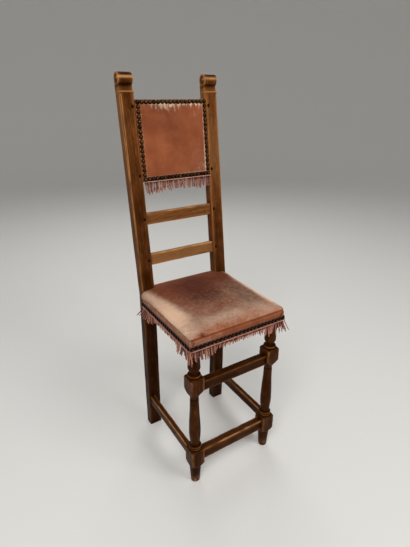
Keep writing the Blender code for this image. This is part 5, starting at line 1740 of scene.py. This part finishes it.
threads = under["threads"]
jute = makeCloth("jute webbing", under["jute"], under["juteDark"], threads["jute"], under["stripe"])
hessian = makeCloth("hessian", under["hessian"], under["hessianDark"], threads["hessian"])
liningCloth = makeCloth("cotton lining", under["lining"], under["liningDark"], threads["lining"])


def makeStuffingFinish():
    finish, tree, inputs = newFinish("horsehair", **{"Roughness": 0.95, "Specular IOR Level": 0.1})
    hair = noiseOf(tree, placeOf(tree), 260.0, 5.0, 0.7, 2.5)
    colour = mixOf(tree, rangeOf(tree, hair, 0.35, 0.65), under["hairDark"], under["hair"])
    tree.links.new(colour, inputs["Base Color"])
    tree.links.new(bumpOf(tree, hair, 0.8, 0.002), inputs["Normal"])
    return finish


horsehair = makeStuffingFinish()


def makeStraps():
    boxes = {}
    for stem in ("length", "cross"):
        boxes[stem] = [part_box(f"seat_strap_{stem}_{index}") for index in (1, 2, 3)]
    columns = [(low.x + high.x) / 2 for low, high in boxes["length"]]
    rows = [(low.y + high.y) / 2 for low, high in boxes["cross"]]
    width = under["strapWidth"]
    cuts = under["strapCuts"]
    size = cuts + 1
    for stem, crossings, others, sign in (("length", rows, columns, 1), ("cross", columns, rows, -1)):
        for index, (low, high) in enumerate(boxes[stem]):
            name = f"seat_strap_{stem}_{index + 1}"
            start, stop = (low.y, high.y) if stem == "length" else (low.x, high.x)
            stations = lineSteps(start, stop, under["strapSpacing"])
            points = []
            lay = []
            for run in stations:
                rise = 0.0
                for order, crossing in enumerate(crossings):
                    way = sign * (-1) ** (index + order)
                    rise += under["weave"] * way * smooth(*under["weaveFrom"], abs(run - crossing))
                for cut in range(size):
                    across = (cut / cuts - 0.5) * width
                    fray = under["strapFray"] * rough(run, cut, index, 90.0) if cut in (0, cuts) else 0.0
                    spot = others[index] + across * (1 + fray)
                    x, y = (spot, run) if stem == "length" else (run, spot)
                    points.append((x, y, under["webbing"] + rise))
                    lay.append((across, run, 0.0))
            faces = []
            for row in range(len(stations) - 1):
                for cut in range(cuts):
                    first = row * size + cut
                    ring = (first, first + 1, first + size + 1, first + size)
                    faces.append(ring if stem == "length" else tuple(reversed(ring)))
            strap = addPiece(name + "_jute", points, faces, jute, [name], {"lay": lay}, closed=False)
            thicken(strap, under["strapThick"], 0.0)


def makeSeatUnder():
    plan, faces = notchGrid(under["clothInset"], under["clothSpacing"])[:2]
    top = under["clothBottom"] + under["clothThick"]
    points = [(x, y, top + under["clothWave"] * rough(x, y, 0, 30.0)) for x, y in plan]
    cloth = addPiece("seat_hessian", points, faces, hessian, ["seat_base_cloth"],
                     {"lay": [(x, y, 0.0) for x, y in plan]}, closed=False)
    thicken(cloth, under["clothThick"])
    plan, faces, border = notchGrid(under["stuffingInset"], under["stuffingSpacing"])
    points = []
    for x, y in plan:
        roundX, roundY, edge = roundedPlan(x, y, seat["cornerTop"])
        points.append((roundX, roundY, seatHeight(roundX, roundY, max(edge, 0.0)) - under["stuffingDrop"]))
    closePad(points, faces, border, [(x, y, under["stuffingBottom"]) for x, y, z in points])
    stuffing = addPiece("seat_horsehair", points, faces, horsehair, ["seat_stuffing"])


def makePanelUnder():
    spots, faces = panelGrid(under["panelInset"], under["panelClothSpacing"])[:2]
    points = [raked(x, under["panelClothT"], s) for x, s in spots]
    cloth = addPiece("panel_hessian", points, faces, hessian, ["panel_base_cloth"],
                     {"lay": [(x, s, 0.0) for x, s in spots]}, closed=False)
    thicken(cloth, under["clothThick"] * under["panelClothThin"])
    spots, faces, border = panelGrid(under["panelInset"], under["panelPadSpacing"])
    frontT, backT = under["panelPadT"]
    points = [raked(x, frontT - under["panelPadCrown"] * panelCrown(x, s), s) for x, s in spots]
    closePad(points, faces, border, [raked(x, backT, s) for x, s in spots])
    stuffing = addPiece("panel_horsehair", points, faces, horsehair, ["panel_stuffing"])


def makeLining():
    inset = under["liningInset"]
    halfX = panel["half"] - inset
    halfS = (panel["top"] - panel["bottom"]) / 2 - inset
    tackPitch = under["tack"]["pitch"]

    def liningDepth(x, s):
        up = abs(s - panelMiddle)
        toEdge = min(halfX - abs(x), halfS - up)
        along = x if halfS - up < halfX - abs(x) else s
        sag = under["liningSag"] * (1 - (x / halfX) ** 2) * (1 - ((s - panelMiddle) / halfS) ** 2)
        hem = under["hemHeight"] * smooth(under["hem"], under["hem"] - under["hemSlope"], toEdge)
        pull = under["liningPull"] * math.cos(2 * math.pi * along / tackPitch)
        pull *= blob(toEdge, under["hem"] + 0.004, 0.006)
        wave = under["liningWave"] * rough(x, 0, s, 28.0, 7.0) * smooth(0.0, 0.03, toEdge)
        return under["liningT"] + under["liningOff"] + sag + hem + pull + wave

    spots, faces = panelGrid(inset, under["liningSpacing"])[:2]
    points = [raked(x, liningDepth(x, s), s) for x, s in spots]
    faces = [tuple(reversed(face)) for face in faces]
    cloth = addPiece("panel_lining_cotton", points, faces, liningCloth, ["panel_lining"],
                     {"lay": [(x, s, 0.0) for x, s in spots]}, closed=False)
    thicken(cloth, under["liningThick"])
    tackRows = []
    edge = under["tackInset"]
    depth = under["liningT"] + under["tackOff"]
    for way in (-1, 1):
        spot = raked(0, depth, panelMiddle + way * (halfS - edge))
        tackRows.append((spot, axisX, 2 * (halfX - edge), way + 31))
        spot = raked(way * (halfX - edge), depth, panelMiddle)
        tackRows.append((spot, upPost, 2 * (halfS - edge) - 2 * tackPitch, way + 41))
    for index, (spot, ahead, length, seed) in enumerate(tackRows):
        tackName = f"lining_tacks_{index + 1}"
        nailRow(tackName, (), spot, ahead, -offPanel, length, seed, under["tack"])


makeStraps()
makeSeatUnder()
makePanelUnder()
makeLining()
print("upholstery layers made")


# glued blocks in the seat frame's corners keep their solids, in rough unwaxed oak
roughLook = {
    "dark": rgb(66, 38, 18),
    "light": rgb(122, 80, 42),
    "blotch": rgb(48, 26, 12),
    "fibre": (60, 700, 700),
}


def makeRoughOak():
    finish, tree, inputs = newFinish("rough oak", **{"Roughness": 0.8, "Specular IOR Level": 0.15})
    place = placeOf(tree)
    fibre = noiseOf(tree, stretchOf(tree, place, roughLook["fibre"]), 1.0, 4.0, 0.6)
    blotch = noiseOf(tree, place, 45.0, 3.0, 0.6)
    wood = mixOf(tree, rangeOf(tree, fibre, 0.3, 0.7), roughLook["dark"], roughLook["light"])
    wood = mixOf(tree, rangeOf(tree, blotch, 0.45, 0.7, 0.0, 0.6), wood, roughLook["blotch"])
    tree.links.new(wood, inputs["Base Color"])
    tree.links.new(bumpOf(tree, fibre, 0.5, 0.0006), inputs["Normal"])
    return finish


roughOak = makeRoughOak()
for row in ("front", "back"):
    for label, side in sides:
        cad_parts[f"corner_block_{row}_{label}"].material_slots[0].material = roughOak
print("corner blocks finished")

# floor, light and camera
stageLook = {
    "hub": 0.02,  # radius of the floor's middle cap
    "floorReach": 4.0,  # level part of the round backdrop
    "sweep": 3.0,  # radius of its rise
    "sweepSteps": 16,
    "wallTop": 6.5,
    "around": 96,
    "floor": rgb(214, 212, 208),
    "sky": rgb(250, 250, 250),
    "world": 0.39,
    "lampsAim": (0, 0, 0.5),
    "cameraAt": (-0.5038, -0.8177, 0.9462),
    "cameraTurn": (math.radians(90 - 23.76), 0.0, math.radians(-32.02)),
    "focalPixels": 401.5,
    "imageHeight": 547,
    "sensor": 36.0,
    "lamps": {
        "key": {"at": (-1.5, -1.6, 2.7), "size": 1.6, "power": 66},
        "fill": {"at": (0.95, -2.0, 2.3), "size": 1.1, "power": 30},
        "rim": {"at": (0.8, 1.8, 2.2), "size": 1.6, "power": 20},
    },
}


def makeStage():
    level = stageLook["floorReach"]
    sweep = stageLook["sweep"]
    around = stageLook["around"]
    profile = [(stageLook["hub"], 0.0), (0.5 * level, 0.0), (level, 0.0)]
    for step in range(1, stageLook["sweepSteps"] + 1):
        turn = math.pi / 2 * step / stageLook["sweepSteps"]
        profile.append((level + sweep * math.sin(turn), sweep * (1 - math.cos(turn))))
    profile.append((level + sweep, stageLook["wallTop"]))
    points = []
    for reach, z in profile:
        for step in range(around):
            angle = 2 * math.pi * step / around
            points.append((reach * math.cos(angle), reach * math.sin(angle), z))
    faces = tubeFaces(len(profile), around, capped=False) + [tuple(reversed(range(around)))]
    mesh = bpy.data.meshes.new("floor")
    mesh.from_pydata(points, [], faces)
    mesh.shade_smooth()
    floor = bpy.data.objects.new("floor", mesh)
    bpy.context.scene.collection.objects.link(floor)
    finish = newFinish("pale floor", **{"Base Color": stageLook["floor"], "Roughness": 0.75})[0]
    mesh.materials.append(finish)
    world = bpy.data.worlds.new("studio")
    world.use_nodes = True
    bpy.context.scene.world = world
    background = world.node_tree.nodes["Background"]
    background.inputs["Color"].default_value = stageLook["sky"]
    background.inputs["Strength"].default_value = stageLook["world"]
    for name, lamp in stageLook["lamps"].items():
        light = bpy.data.lights.new(name, "AREA")
        light.energy = lamp["power"]
        light.size = lamp["size"]
        holder = bpy.data.objects.new(name, light)
        bpy.context.scene.collection.objects.link(holder)
        holder.location = lamp["at"]
        aim = Vector(stageLook["lampsAim"]) - Vector(lamp["at"])
        holder.rotation_euler = aim.to_track_quat("-Z", "Y").to_euler()
    camera = bpy.data.cameras.new("photo view")
    camera.sensor_width = stageLook["sensor"]
    camera.lens = stageLook["focalPixels"] / stageLook["imageHeight"] * stageLook["sensor"]
    holder = bpy.data.objects.new("photo view", camera)
    bpy.context.scene.collection.objects.link(holder)
    holder.location = stageLook["cameraAt"]
    holder.rotation_euler = stageLook["cameraTurn"]
    bpy.context.scene.camera = holder
    bpy.context.scene.view_settings.view_transform = "Standard"


makeStage()
print("stage set")
